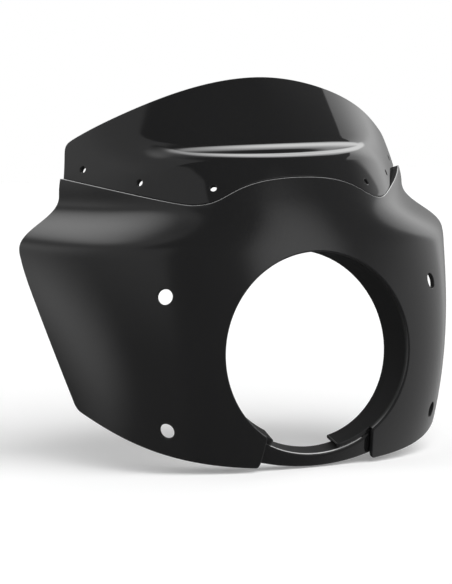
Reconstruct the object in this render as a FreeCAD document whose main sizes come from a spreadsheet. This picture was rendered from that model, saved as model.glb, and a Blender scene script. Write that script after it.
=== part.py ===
import FreeCAD, Part
import math
import os
from FreeCAD import Vector

# Quarter fairing with a raked windshield and a lower strap, mounted frame.
# Origin: centre of the headlight opening in the plane of its lip.
# X to the rider's left, Y to the rear of the motorcycle, Z up; millimetres.

doc = FreeCAD.newDocument("quarter_fairing")
sheet = doc.addObject("Spreadsheet::Sheet", "Sizes")

SIZES = [
    # walls and clearances
    ("shell_wall", 4.8, "wall of the moulded shell"),
    ("screen_wall", 3.2, "wall of the windshield"),
    ("strap_wall", 3.0, "wall of the lower strap"),
    ("seat_gap", 0.1, "clearance between pieces that seat on each other"),
    ("parting_gap", 0.4, "open joint between shell step and windshield edge"),
    # headlight opening and its tunnel
    ("opening_radius", 108.0, "headlight opening at the lip"),
    ("tunnel_back", 50.0, "centre of the tunnel's rear rim behind the lip"),
    ("tunnel_rise", 4.7, "centre of the rear rim above the opening centre"),
    ("tunnel_radius", 102.5, "radius of the rear rim"),
    ("tunnel_lean", 10.5, "lean of the rear rim, top to the rear, degrees"),
    # nose, read in the side view at the centre line
    ("nose_ahead", 19.0, "nose ahead of the lip plane at the opening centre"),
    ("nose_round", 18.0, "set-back of the nose 100 mm above or below"),
    ("nose_rake", -13.2, "change of that set-back 100 mm above the shoulder"),
    # body section, read in plan at the opening centre
    ("wing_depth", 250.0, "depth at which the wing half width is read"),
    ("front_flat", 174.0, "half width of the flat of the front"),
    ("corner_out", 219.0, "body corner from the centre line"),
    ("corner_back", 85.0, "body corner behind the lip plane"),
    ("wing_half", 253.0, "half width of the wing"),
    ("corner_out_rise", 12.0, "change of corner_out per 100 mm up"),
    ("corner_back_rise", 14.0, "change of corner_back per 100 mm up"),
    ("corner_back_round", 31.0, "set-back of the corner 100 mm off centre"),
    ("wing_half_rise", 31.0, "change of wing_half per 100 mm up"),
    # neck section under the windshield
    ("neck_flat", 115.0, "half width of the flat of the neck"),
    ("neck_corner_out", 137.0, "neck corner from the centre line"),
    ("neck_corner_back", -8.0, "neck corner behind the lip plane, at height 0"),
    ("neck_corner_rise", 61.0, "change of neck_corner_back per 100 mm up"),
    ("neck_half", 269.0, "half width of the neck, at height 0"),
    ("neck_half_rise", -20.0, "change of neck_half per 100 mm up"),
    ("shoulder_low", 103.0, "height at which the shoulder starts"),
    ("shoulder_high", 165.0, "height at which the neck is reached"),
    # windshield section above the shoulder
    ("screen_flat_rise", -42.0, "change of the flat 100 mm above the shoulder"),
    ("screen_corner_rise", 7.0, "change of the corner 100 mm above the shoulder"),
    ("screen_back_rise", 8.0, "set-back of the corner 100 mm above the shoulder"),
    ("screen_half_rise", -27.0, "change of the width 100 mm above the shoulder"),
    # moulded crease across the windshield
    ("crease_rise", 15.2, "crease above the ledge edge at the centre"),
    ("crease_band", 24.0, "height over which the crease turns at the centre"),
    ("crease_side_band", 64.0, "height over which it turns at the sides"),
    ("crease_depth", 27.0, "set-back of the crease"),
    ("crease_start", 80.0, "place from the centre line where the crease starts to soften"),
    ("crease_run", 106.0, "run over which it softens"),
    # rear and bottom edge, read in the side view
    ("neck_edge_back", 211.0, "rear edge of the neck"),
    ("neck_edge_height", 190.0, "height of that point"),
    ("wing_edge_back", 198.0, "rear edge at the widest part of the wing"),
    ("wing_edge_height", 88.0, "height of that point"),
    ("wing_edge_radius", 70.0, "rounding of the rear edge there"),
    ("tail_back", 159.0, "lower rear corner of the wing"),
    ("tail_height", -62.0, "height of that corner"),
    ("tail_radius", 15.0, "rounding of that corner"),
    ("chin_height", -127.0, "bottom edge at the lip plane"),
    # parting line, read in the front view
    ("part_crown", 185.5, "parting line at the centre"),
    ("part_crown_pull", 80.0, "level run of the line at the centre"),
    ("part_trough_out", 113.0, "lowest point of the parting line"),
    ("part_trough_pull", 35.0, "level run of the line inside that point"),
    ("part_flank_pull", 14.0, "level run of the line outside that point"),
    ("part_trough", 159.0, "height of that point"),
    ("part_end_out", 205.0, "outer end of the parting line"),
    ("part_end", 187.0, "height of that end"),
    ("part_end_pull", 25.0, "straight run of the line before that end"),
    # ledge of the shell behind the windshield
    ("ledge_lap", 12.0, "lap of the ledge below the parting line"),
    ("ledge_crown_rise", 12.5, "ledge edge above the parting line at the centre"),
    ("ledge_trough_rise", 23.0, "ledge edge above the trough of the parting line"),
    ("ledge_end_rise", 25.0, "ledge edge above the outer end of the parting line"),
    ("ledge_half", 196.0, "half width of the ledge"),
    # step at the ends of the parting line, where the shell stands proud of the windshield
    ("step_proud", 6.0, "height of the step"),
    ("step_start", 115.0, "place from the centre line where the step starts"),
    ("step_run", 80.0, "run over which it rises"),
    ("step_drop", 50.0, "depth below the line's end over which it runs out"),
    # windshield outline, read in the front view
    ("screen_top", 294.0, "top edge of the windshield at the centre"),
    ("screen_top_pull", 70.0, "level run of the top edge at the centre"),
    ("screen_shoulder_out", 186.0, "top of the rounded corner"),
    ("screen_shoulder", 233.5, "height of that point"),
    ("screen_slope_pull", 52.0, "run of the top edge above that point"),
    ("screen_slope", 35.0, "fall of the top edge there, degrees"),
    ("screen_side_out", 200.0, "foot of the rounded corner"),
    ("screen_side", 213.0, "height of that point"),
    ("screen_corner_pull", 12.0, "run of the corner from either point"),
    # mounting holes
    ("mount_hole", 17.0, "diameter of the mounting holes"),
    ("mount_out", 159.0, "mounting holes from the centre line"),
    ("mount_high", 65.5, "height of the upper pair"),
    ("mount_low", -78.0, "height of the lower pair"),
    # windshield screw holes
    ("screw_hole", 7.0, "diameter of the windshield screw holes"),
    ("screw_in_out", 91.5, "inner pair from the centre line"),
    ("screw_in_height", 176.5, "height of the inner pair"),
    ("screw_mid_out", 150.0, "middle pair from the centre line"),
    ("screw_mid_height", 183.0, "height of the middle pair"),
    ("screw_end_out", 189.0, "outer pair from the centre line"),
    ("screw_end_height", 197.5, "height of the outer pair"),
    # notch under the headlight and the strap that bridges it
    ("notch_top_half", 62.5, "half width of the notch at the tunnel"),
    ("notch_foot_half", 67.5, "half width of the notch at the bottom edge"),
    ("slot_left", 24.0, "rider's left side of the slot in the tunnel from the centre"),
    ("slot_right", 52.0, "rider's right side of the slot in the tunnel from the centre"),
    ("pad_height", 3.0, "bonding pads of the strap on the tunnel"),
    ("pad_in", 54.0, "inner side of the pads from the centre line"),
    ("pad_out", 76.0, "outer side of the pads from the centre line"),
    ("pad_front", 20.0, "front side of the pads behind the lip plane"),
    ("strap_half", 78.0, "half width of the strap"),
    ("strap_foot", -124.0, "bottom edge of the strap at the centre"),
    ("strap_foot_radius", 257.0, "radius of that bottom edge"),
]

V = {}
for row, (alias, value, note) in enumerate(SIZES, start=1):
    sheet.set("A%d" % row, note)
    sheet.set("B%d" % row, str(value))
    sheet.setAlias("B%d" % row, alias)
doc.recompute()
for alias, value, note in SIZES:
    V[alias] = float(getattr(sheet, alias))


# Steps for the slopes of the skin
T_STEP = 0.004
Z_STEP = 0.25

# Reach of the cutting tools, past every wall that they cut
FAR = 900.0
FLOOR = -220.0
LID = 340.0
AHEAD = 120.0
DRILL = 30.0

# Skins: margin past their trims, reach in t, spacing of their rows and columns
SPARE = 15.0
SPAN = 1.15
BODY_STEP = 17.0
SCREEN_STEP = 6.0
CHIN_STEP = 25.0
BODY_COLUMN = 28.2
SCREEN_COLUMN = 18.1

# Run over which the sheet's changes with height are given
RISE_RUN = 100.0


def smooth(t):
    """Rise from 0 to 1 with level ends."""
    t = min(max(t, 0.0), 1.0)
    return t * t * t * (t * (6.0 * t - 15.0) + 10.0)


def skin_controls(z):
    """Nose, flat, corner and width of the outer skin at one height."""
    s = z / RISE_RUN
    up = max(z - V["shoulder_high"], 0.0) / RISE_RUN
    w = smooth((z - V["shoulder_low"]) / (V["shoulder_high"] - V["shoulder_low"]))
    nose = -V["nose_ahead"] + V["nose_round"] * s * s + V["nose_rake"] * up * up
    flat = V["front_flat"]
    flat += w * (V["neck_flat"] - flat) + V["screen_flat_rise"] * up * up
    out = V["corner_out"] + V["corner_out_rise"] * s
    out += w * (V["neck_corner_out"] - out) + V["screen_corner_rise"] * up * up
    back = V["corner_back"] + V["corner_back_rise"] * s + V["corner_back_round"] * s * s
    neck_back = V["neck_corner_back"] + V["neck_corner_rise"] * s
    back += w * (neck_back - back) + V["screen_back_rise"] * up * up
    half = V["wing_half"] + V["wing_half_rise"] * s
    neck_half = V["neck_half"] + V["neck_half_rise"] * s
    half += w * (neck_half - half) + V["screen_half_rise"] * up * up
    return nose, flat, out, back, half


LEDGE_CROWN = V["part_crown"] + V["ledge_crown_rise"]
CREASE = LEDGE_CROWN + V["crease_rise"]


def crease(x, z):
    """Set-back of the moulded crease of the windshield."""
    soft = smooth((x - V["crease_start"]) / V["crease_run"])
    band = V["crease_band"] + soft * (V["crease_side_band"] - V["crease_band"])
    return V["crease_depth"] * smooth((z - CREASE) / band + 0.5)


def skin(t, z):
    """Point of the outer skin; t runs from -1 to 1 across the fairing."""
    nose, flat, out, back, half = skin_controls(z)
    a = abs(t)
    b1 = 3.0 * (1.0 - a) ** 2 * a
    b2 = 3.0 * (1.0 - a) * a * a
    b3 = a * a * a
    x = b1 * flat + b2 * out + b3 * half
    nose += crease(x, z)
    y = nose + b2 * (back - nose) + b3 * (V["wing_depth"] - nose)
    return Vector(math.copysign(x, t), y, z)


def skin_normal(t, z):
    """Unit normal of the outer skin, pointing into the fairing."""
    across = skin(t + T_STEP, z) - skin(t - T_STEP, z)
    up = skin(t, z + Z_STEP) - skin(t, z - Z_STEP)
    return up.cross(across).normalize()


def skin_at(x, z):
    """Point and inward normal of the outer skin at a place in the front view."""
    low, high = 0.0, 1.0
    for step in range(60):
        mid = (low + high) / 2.0
        if skin(mid, z).x < abs(x):
            low = mid
        else:
            high = mid
    t = math.copysign(low, x)
    return skin(t, z), skin_normal(t, z)


def step_height(point):
    """Height by which the shell stands proud of the skin at a point."""
    out = smooth((abs(point.x) - V["step_start"]) / V["step_run"])
    up = smooth((point.z - V["part_end"]) / V["step_drop"] + 1.0)
    return V["step_proud"] * out * up


def columns(spacing):
    """Number of points across each half of a skin."""
    return int(math.ceil(SPAN * V["wing_half"] / spacing))


def sheet_face(levels, across, depth, proud=False):
    """Spline face parallel to the outer skin at a depth under it, or with the shell's step."""
    rows = []
    for z in levels:
        row = []
        for i in range(-across, across + 1):
            t = SPAN * i / across
            point = skin(t, z)
            under = depth - step_height(point) if proud else depth
            row.append(point + skin_normal(t, z) * under)
        rows.append(row)
    surface = Part.BSplineSurface()
    surface.interpolate(rows)
    return surface.toShape()


def sheet_solid(levels, across, near, far, proud=False):
    """Solid between two faces of the skin, the near one with the shell's step if asked."""
    faces = [sheet_face(levels, across, near, proud), sheet_face(levels, across, far)]
    for a, b in zip(faces[0].Edges, faces[1].Edges):
        faces.append(Part.makeRuledSurface(a, b))
    shell = Part.makeShell(faces)
    shell.sewShape()
    solid = Part.makeSolid(Part.Shell(shell.Faces))
    if solid.Volume < 0:
        solid.reverse()
    return solid


def feature(name, shape):
    """Document object for a shape that no primitive gives."""
    obj = doc.addObject("Part::Feature", name)
    obj.Shape = shape
    return obj


def prism(name, wire, along, length):
    """Part::Extrusion of a closed wire, half its length to either side."""
    base = feature(name + "_outline", Part.Face(wire))
    obj = doc.addObject("Part::Extrusion", name)
    obj.Base = base
    obj.DirMode = "Custom"
    obj.Dir = along
    obj.LengthFwd = length
    obj.Solid = True
    obj.Symmetric = True
    return obj


def common(name, shapes):
    obj = doc.addObject("Part::MultiCommon", name)
    obj.Shapes = shapes
    return obj


def fuse(name, shapes):
    obj = doc.addObject("Part::MultiFuse", name)
    obj.Shapes = shapes
    return obj


def cut(name, base, tool):
    obj = doc.addObject("Part::Cut", name)
    obj.Base = base
    obj.Tool = tool
    return obj


def rounded(points, radii):
    """Closed wire through corner points, each with its own rounding."""
    edges = []
    ends = []
    n = len(points)
    for i in range(n):
        p, q, r = points[i - 1], points[i], points[(i + 1) % n]
        if radii[i] == 0:
            ends.append((q, q))
            continue
        a = (p - q).normalize()
        b = (r - q).normalize()
        half = a.getAngle(b) / 2.0
        run = radii[i] / math.tan(half)
        mid = (a + b).normalize()
        centre = q + mid * (radii[i] / math.sin(half))
        ends.append((q + a * run, q + b * run))
        edges.append(Part.Arc(q + a * run, centre - mid * radii[i], q + b * run).toShape())
    for i in range(n):
        edges.append(Part.makeLine(ends[i - 1][1], ends[i][0]))
    return Part.Wire(Part.__sortEdges__(edges))


def bezier(points):
    curve = Part.BezierCurve()
    curve.setPoles(points)
    return curve.toShape()


def front(x, z):
    return Vector(x, 0.0, z)


def swell_line(crown, trough, end):
    """Left half of the parting line, or of a line that runs beside it, front view."""
    low, tip = front(V["part_trough_out"], trough), front(V["part_end_out"], end)
    inner = bezier([front(0, crown), front(V["part_crown_pull"], crown),
                    low - front(V["part_trough_pull"], 0), low])
    knee = low + front(V["part_flank_pull"], 0)
    outer = bezier([low, knee, tip - (tip - knee).normalize() * V["part_end_pull"], tip])
    return [inner, outer]


def mirrored(edges):
    """The same edges on the other side of the centre plane."""
    flip = FreeCAD.Matrix()
    flip.A11 = -1.0
    return [e.transformGeometry(flip) for e in edges]


def closed(edges):
    return Part.Wire(Part.__sortEdges__(edges))


def below(crown, trough, end, floor):
    """Front view region under a swell line."""
    far = FAR / 2.0
    line = swell_line(crown, trough, end)
    edges = line + mirrored(line)
    for side in (-1.0, 1.0):
        edges.append(Part.makeLine(front(side * V["part_end_out"], end), front(side * far, end)))
        edges.append(Part.makeLine(front(side * far, end), front(side * far, floor)))
    edges.append(Part.makeLine(front(-far, floor), front(far, floor)))
    return closed(edges)


def primitive(kind, name, **sizes):
    """Part primitive whose sizes are expressions on the sheet."""
    obj = doc.addObject(kind, name)
    for key, text in sizes.items():
        obj.setExpression(key, text)
    return obj


def block(name, width, x, y, low, high):
    """Box tool from a corner, deep enough to pass every wall."""
    obj = primitive("Part::Box", name, Length=width)
    obj.Width = FAR
    obj.Height = high - low
    obj.Placement.Base = Vector(x, y, low)
    return obj


def hole(name, point, axis, diameter):
    """Cylinder through a wall, centred on a point of the skin."""
    obj = primitive("Part::Cylinder", name, Radius="Sizes.%s / 2" % diameter)
    obj.Height = 2.0 * DRILL
    turn = FreeCAD.Rotation(Vector(0, 0, 1), axis)
    obj.Placement = FreeCAD.Placement(point - axis * DRILL, turn)
    return obj


def levels(low, high, step):
    """Even heights from low to high, at most a step apart."""
    count = int(math.ceil((high - low) / step))
    return [low + (high - low) * i / count for i in range(count + 1)]


# Skins
part_tops = (V["part_crown"], V["part_trough"], V["part_end"])
ledge_rises = (V["ledge_crown_rise"], V["ledge_trough_rise"], V["ledge_end_rise"])
ledge_tops = [low + rise for low, rise in zip(part_tops, ledge_rises)]
body_levels = levels(V["chin_height"] - SPARE, max(part_tops) + SPARE, BODY_STEP)
screen_foot = min(part_tops) - V["ledge_lap"] - SPARE
screen_levels = levels(screen_foot, V["screen_top"] + SPARE, SCREEN_STEP)
ledge_levels = [z for z in screen_levels if z < max(ledge_tops) + 2.0 * SPARE]
chin_levels = levels(min(V["chin_height"], V["strap_foot"]) - SPARE, 0.0, CHIN_STEP)

wall = V["shell_wall"]
glass = V["screen_wall"]
seat = glass + V["seat_gap"]
nest = wall + V["pad_height"]
body_columns = columns(BODY_COLUMN)
screen_columns = columns(SCREEN_COLUMN)
body_sheet = feature("body_sheet", sheet_solid(body_levels, body_columns, 0.0, wall, proud=True))
ledge_sheet = feature("ledge_sheet", sheet_solid(ledge_levels, screen_columns, seat, seat + wall))
screen_sheet = feature("screen_sheet", sheet_solid(screen_levels, screen_columns, 0.0, glass))
nest_face = sheet_face(chin_levels, body_columns, nest)
ahead_of_nest = feature("ahead_of_nest", nest_face.extrude(Vector(0, -AHEAD, 0)))
strap_near = nest + V["seat_gap"]
strap_far = strap_near + V["strap_wall"]
strap_sheet = feature("strap_sheet", sheet_solid(chin_levels, body_columns, strap_near, strap_far))
body_face = sheet_face(body_levels, body_columns, 0.0)
behind = feature("behind_skin", body_face.extrude(Vector(0, AHEAD, 0)))
strap_face = sheet_face(chin_levels, body_columns, strap_near)
strap_behind = feature("strap_behind", strap_face.extrude(Vector(0, AHEAD, 0)))

# Trim regions
Y_AXIS = Vector(0, 1, 0)
X_AXIS = Vector(1, 0, 0)


def side(y, z):
    return Vector(0.0, y, z)


slope_up = (V["neck_edge_back"] - V["wing_edge_back"]) / (V["neck_edge_height"] - V["wing_edge_height"])
slope_chin = (V["tail_height"] - V["chin_height"]) / V["tail_back"]
side_corners = [
    side(-AHEAD, LID),
    side(V["neck_edge_back"] + slope_up * (LID - V["neck_edge_height"]), LID),
    side(V["wing_edge_back"], V["wing_edge_height"]),
    side(V["tail_back"], V["tail_height"]),
    side(-AHEAD, V["chin_height"] - AHEAD * slope_chin),
]
side_radii = [0, 0, V["wing_edge_radius"], V["tail_radius"], 0]
side_trim = prism("side_trim", rounded(side_corners, side_radii), X_AXIS, FAR)
under_part = prism("under_part", below(*part_tops, FLOOR), Y_AXIS, FAR)
lap = V["ledge_lap"]
ledge_line = swell_line(*ledge_tops)
lap_line = swell_line(*[top - lap for top in part_tops])
ledge_edges = ledge_line + mirrored(ledge_line) + lap_line + mirrored(lap_line)
for s in (-1.0, 1.0):
    xe = s * V["part_end_out"]
    ledge_edges.append(Part.makeLine(front(xe, ledge_tops[2]), front(xe, part_tops[2] - lap)))
ledge_band = prism("ledge_band", closed(ledge_edges), Y_AXIS, FAR)
ledge_reach = block("ledge_reach", "2 * Sizes.ledge_half", -V["ledge_half"], -AHEAD, 0.0, LID)

# Shell: skin under the parting line, ledge behind the windshield, tunnel
skin_part = common("skin_part", [body_sheet, under_part, side_trim])
ledge_part = common("ledge_part", [ledge_sheet, ledge_band, ledge_reach])


TUNNEL_START = -0.6


def tunnel(name, extra):
    """Part::Loft along the tunnel from ahead of the lip, its wall moved out by some sheet sizes."""
    rings = []
    for tag, run in (("_lip", TUNNEL_START), ("_rim", 1.0)):
        ring = doc.addObject("Part::Circle", name + tag)
        grow = "%g * (Sizes.tunnel_radius - Sizes.opening_radius)" % run
        ring.setExpression("Radius", "Sizes.opening_radius + " + grow + extra)
        turn = FreeCAD.Rotation(Vector(1, 0, 0), -90.0 - run * V["tunnel_lean"])
        spot = Vector(0, run * V["tunnel_back"], run * V["tunnel_rise"])
        ring.Placement = FreeCAD.Placement(spot, turn)
        rings.append(ring)
    obj = doc.addObject("Part::Loft", name)
    obj.Sections = rings
    obj.Solid = True
    obj.Ruled = True
    return obj


tunnel_in = tunnel("tunnel_in", "")
tunnel_out = tunnel("tunnel_out", " + Sizes.shell_wall")
pad_cone = tunnel("pad_cone", " + Sizes.shell_wall + Sizes.pad_height")
pad_width = "Sizes.pad_out - Sizes.pad_in"
pad_block = fuse("pad_block", [
    block("pad_left", pad_width, V["pad_in"], V["pad_front"], FLOOR, 0.0),
    block("pad_right", pad_width, -V["pad_out"], V["pad_front"], FLOOR, 0.0),
])
pad_part = common("pad_part", [pad_cone, pad_block])
tunnel_part = common("tunnel_part", [tunnel_out, behind])
shell_raw = fuse("shell_raw", [skin_part, ledge_part, tunnel_part, pad_part])

# Cuts of the shell
knee = -math.sqrt(V["opening_radius"] ** 2 - V["notch_top_half"] ** 2)
lean = (V["notch_foot_half"] - V["notch_top_half"]) / (knee - V["chin_height"])
half_foot = V["notch_top_half"] + lean * (knee - FLOOR)
half_top = V["notch_top_half"] + lean * knee
notch_wire = rounded([front(-half_foot, FLOOR), front(half_foot, FLOOR), front(half_top, 0.0),
                      front(-half_top, 0.0)], [0, 0, 0, 0])
notch_prism = prism("notch_prism", notch_wire, Y_AXIS, FAR)
notch = common("notch", [notch_prism, ahead_of_nest])
slot = block("slot", "Sizes.slot_left + Sizes.slot_right", -V["slot_right"], -AHEAD, FLOOR, 0.0)

mount_tools = []
for s, hand in ((-1.0, "right"), (1.0, "left")):
    for height, key in (("high", "mount_high"), ("low", "mount_low")):
        spot, axis = skin_at(s * V["mount_out"], V[key])
        mount_tools.append(hole("mount_%s_%s" % (height, hand), spot, axis, "mount_hole"))

screw_tools = []
for s, hand in ((-1.0, "right"), (1.0, "left")):
    for key in ("in", "mid", "end"):
        spot, axis = skin_at(s * V["screw_%s_out" % key], V["screw_%s_height" % key])
        screw_tools.append(hole("screw_%s_%s" % (key, hand), spot, axis, "screw_hole"))
screw_block = fuse("screw_block", screw_tools)
mount_block = fuse("mount_block", mount_tools)

shell_open = cut("shell_open", shell_raw, tunnel_in)
shell_notched = cut("shell_notched", shell_open, notch)
shell_slotted = cut("shell_slotted", shell_notched, slot)
shell_drilled = cut("shell_drilled", shell_slotted, screw_block)
fairing_shell = cut("fairing_shell", shell_drilled, mount_block)

# Windshield
gap = V["parting_gap"]
lower = swell_line(*[top + gap for top in part_tops])
fall = math.radians(V["screen_slope"])
down = front(math.cos(fall), -math.sin(fall))
shoulder = front(V["screen_shoulder_out"], V["screen_shoulder"])
side_top = front(V["screen_side_out"], V["screen_side"])
side_foot = front(V["part_end_out"], V["part_end"] + gap)
rise = (side_top - side_foot).normalize()
brow = bezier([front(0, V["screen_top"]), front(V["screen_top_pull"], V["screen_top"]),
               shoulder - down * V["screen_slope_pull"], shoulder])
corner = bezier([shoulder, shoulder + down * V["screen_corner_pull"],
                 side_top + rise * V["screen_corner_pull"], side_top])
flank = Part.makeLine(side_top, side_foot)
outline = lower + [corner, brow, flank]
screen_trim = prism("screen_trim", closed(outline + mirrored(outline)), Y_AXIS, FAR)
screen_part = common("screen_part", [screen_sheet, screen_trim])
windshield = cut("windshield", screen_part, screw_block)

# Lower strap: web under the tunnel, flange behind the front wall
web_gap = " + Sizes.shell_wall + Sizes.pad_height + Sizes.seat_gap"
web_in = tunnel("web_in", web_gap)
web_out = tunnel("web_out", web_gap + " + Sizes.strap_wall")
foot_disc = primitive("Part::Cylinder", "foot_disc", Radius="Sizes.strap_foot_radius")
foot_disc.Height = FAR
foot_disc.Placement = FreeCAD.Placement(Vector(0, -FAR / 2.0, V["strap_foot"] + V["strap_foot_radius"]),
                                        FreeCAD.Rotation(Vector(1, 0, 0), -90))
strap_top = -math.sqrt(V["opening_radius"] ** 2 - V["strap_half"] ** 2)
strap_reach = block("strap_reach", "2 * Sizes.strap_half", -V["strap_half"], -AHEAD, FLOOR, strap_top)
web_ring = common("web_ring", [web_out, strap_behind, strap_reach])
flange = common("flange", [strap_sheet, foot_disc, strap_reach])
strap_raw = fuse("strap_raw", [web_ring, flange])
lower_strap = cut("lower_strap", strap_raw, web_in)

doc.recompute()

NODES = [fairing_shell, windshield, lower_strap]
for obj in doc.Objects:
    if "Invalid" in obj.State or "Error" in obj.State:
        raise RuntimeError("object %s did not build: %s" % (obj.Name, obj.State))
os.makedirs("parts", exist_ok=True)
for obj in NODES:
    shape = obj.Shape
    if shape.isNull() or not shape.isValid():
        raise RuntimeError("node %s has no valid shape" % obj.Label)
    if len(shape.Solids) != 1:
        raise RuntimeError("node %s has %d solids" % (obj.Label, len(shape.Solids)))
    shape.exportStep("parts/%s.step" % obj.Label)
    print(obj.Label, len(shape.Faces), "faces", round(shape.Volume / 1000.0, 1), "cm3")
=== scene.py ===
"""Quarter fairing in gloss-black plastic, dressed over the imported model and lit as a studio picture."""
import logging
import math
from dataclasses import dataclass, field
from enum import Enum

import bpy
import numpy as np
from mathutils import Matrix, Vector
from mathutils.geometry import delaunay_2d_cdt


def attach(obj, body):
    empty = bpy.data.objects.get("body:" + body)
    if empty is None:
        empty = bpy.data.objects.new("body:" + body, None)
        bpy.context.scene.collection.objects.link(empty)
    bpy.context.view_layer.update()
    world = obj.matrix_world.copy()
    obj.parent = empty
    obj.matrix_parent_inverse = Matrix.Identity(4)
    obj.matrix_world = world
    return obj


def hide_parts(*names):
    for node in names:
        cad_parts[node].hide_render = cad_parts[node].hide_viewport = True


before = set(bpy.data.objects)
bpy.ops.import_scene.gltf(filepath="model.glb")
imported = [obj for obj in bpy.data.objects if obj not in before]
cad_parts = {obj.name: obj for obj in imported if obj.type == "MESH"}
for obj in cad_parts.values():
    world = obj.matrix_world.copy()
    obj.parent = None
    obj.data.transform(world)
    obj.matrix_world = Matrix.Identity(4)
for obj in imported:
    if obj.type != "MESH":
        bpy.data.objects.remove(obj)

LOG = logging.getLogger("fairing")
Array = np.ndarray
MM = 0.001
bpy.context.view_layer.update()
# Point attribute that marks a painted highlight: a pale colour on edges in place of their bright reflection.
PAINTED_HIGHLIGHT = "painted_highlight"
MATT = "matt"
INNER_MATT = 0.6
SCREWS = ((91.5, 176.5), (150.0, 183.0), (189.0, 197.5))


def smooth(t: Array) -> Array:
    """Rise from 0 to 1 with level ends."""
    t = np.clip(t, 0.0, 1.0)
    return t * t * t * (t * (6.0 * t - 15.0) + 10.0)


def unit(v: Array) -> Array:
    """Vectors of length 1."""
    return v / np.maximum(np.linalg.norm(v, axis=-1, keepdims=True), 1e-12)


def bezier(poles: list[tuple[float, float]], count: int) -> Array:
    """Points along a cubic Bezier curve.

    Args:
        poles: its four control points.
        count: number of points, both ends included.

    Returns:
        Array of count by 2.
    """
    p = np.array(poles, dtype=float)
    s = np.linspace(0.0, 1.0, count)[:, None]
    q = 1.0 - s
    return q**3 * p[0] + 3 * q * q * s * p[1] + 3 * q * s * s * p[2] + s**3 * p[3]


def corner(before: Array, at: Array, after: Array, radius: float, count: int = 12) -> Array:
    """Arc that rounds one corner of a polyline in a plane.

    Args:
        before: point on the way in.
        at: the corner itself.
        after: point on the way out.
        radius: rounding of the corner.
        count: number of points on the arc.

    Returns:
        Array of count by 2, from the way in to the way out.
    """
    a = unit(before - at)
    b = unit(after - at)
    half = math.acos(float(np.clip(a @ b, -1.0, 1.0))) / 2.0
    middle = unit(a + b)
    centre = at + middle * radius / math.sin(half)
    start = at + a * radius / math.tan(half) - centre
    stop = at + b * radius / math.tan(half) - centre
    sweep = math.pi - 2.0 * half
    s = np.linspace(0.0, 1.0, count)[:, None]
    return centre + (np.sin((1.0 - s) * sweep) * start + np.sin(s * sweep) * stop) / math.sin(sweep)


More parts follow.
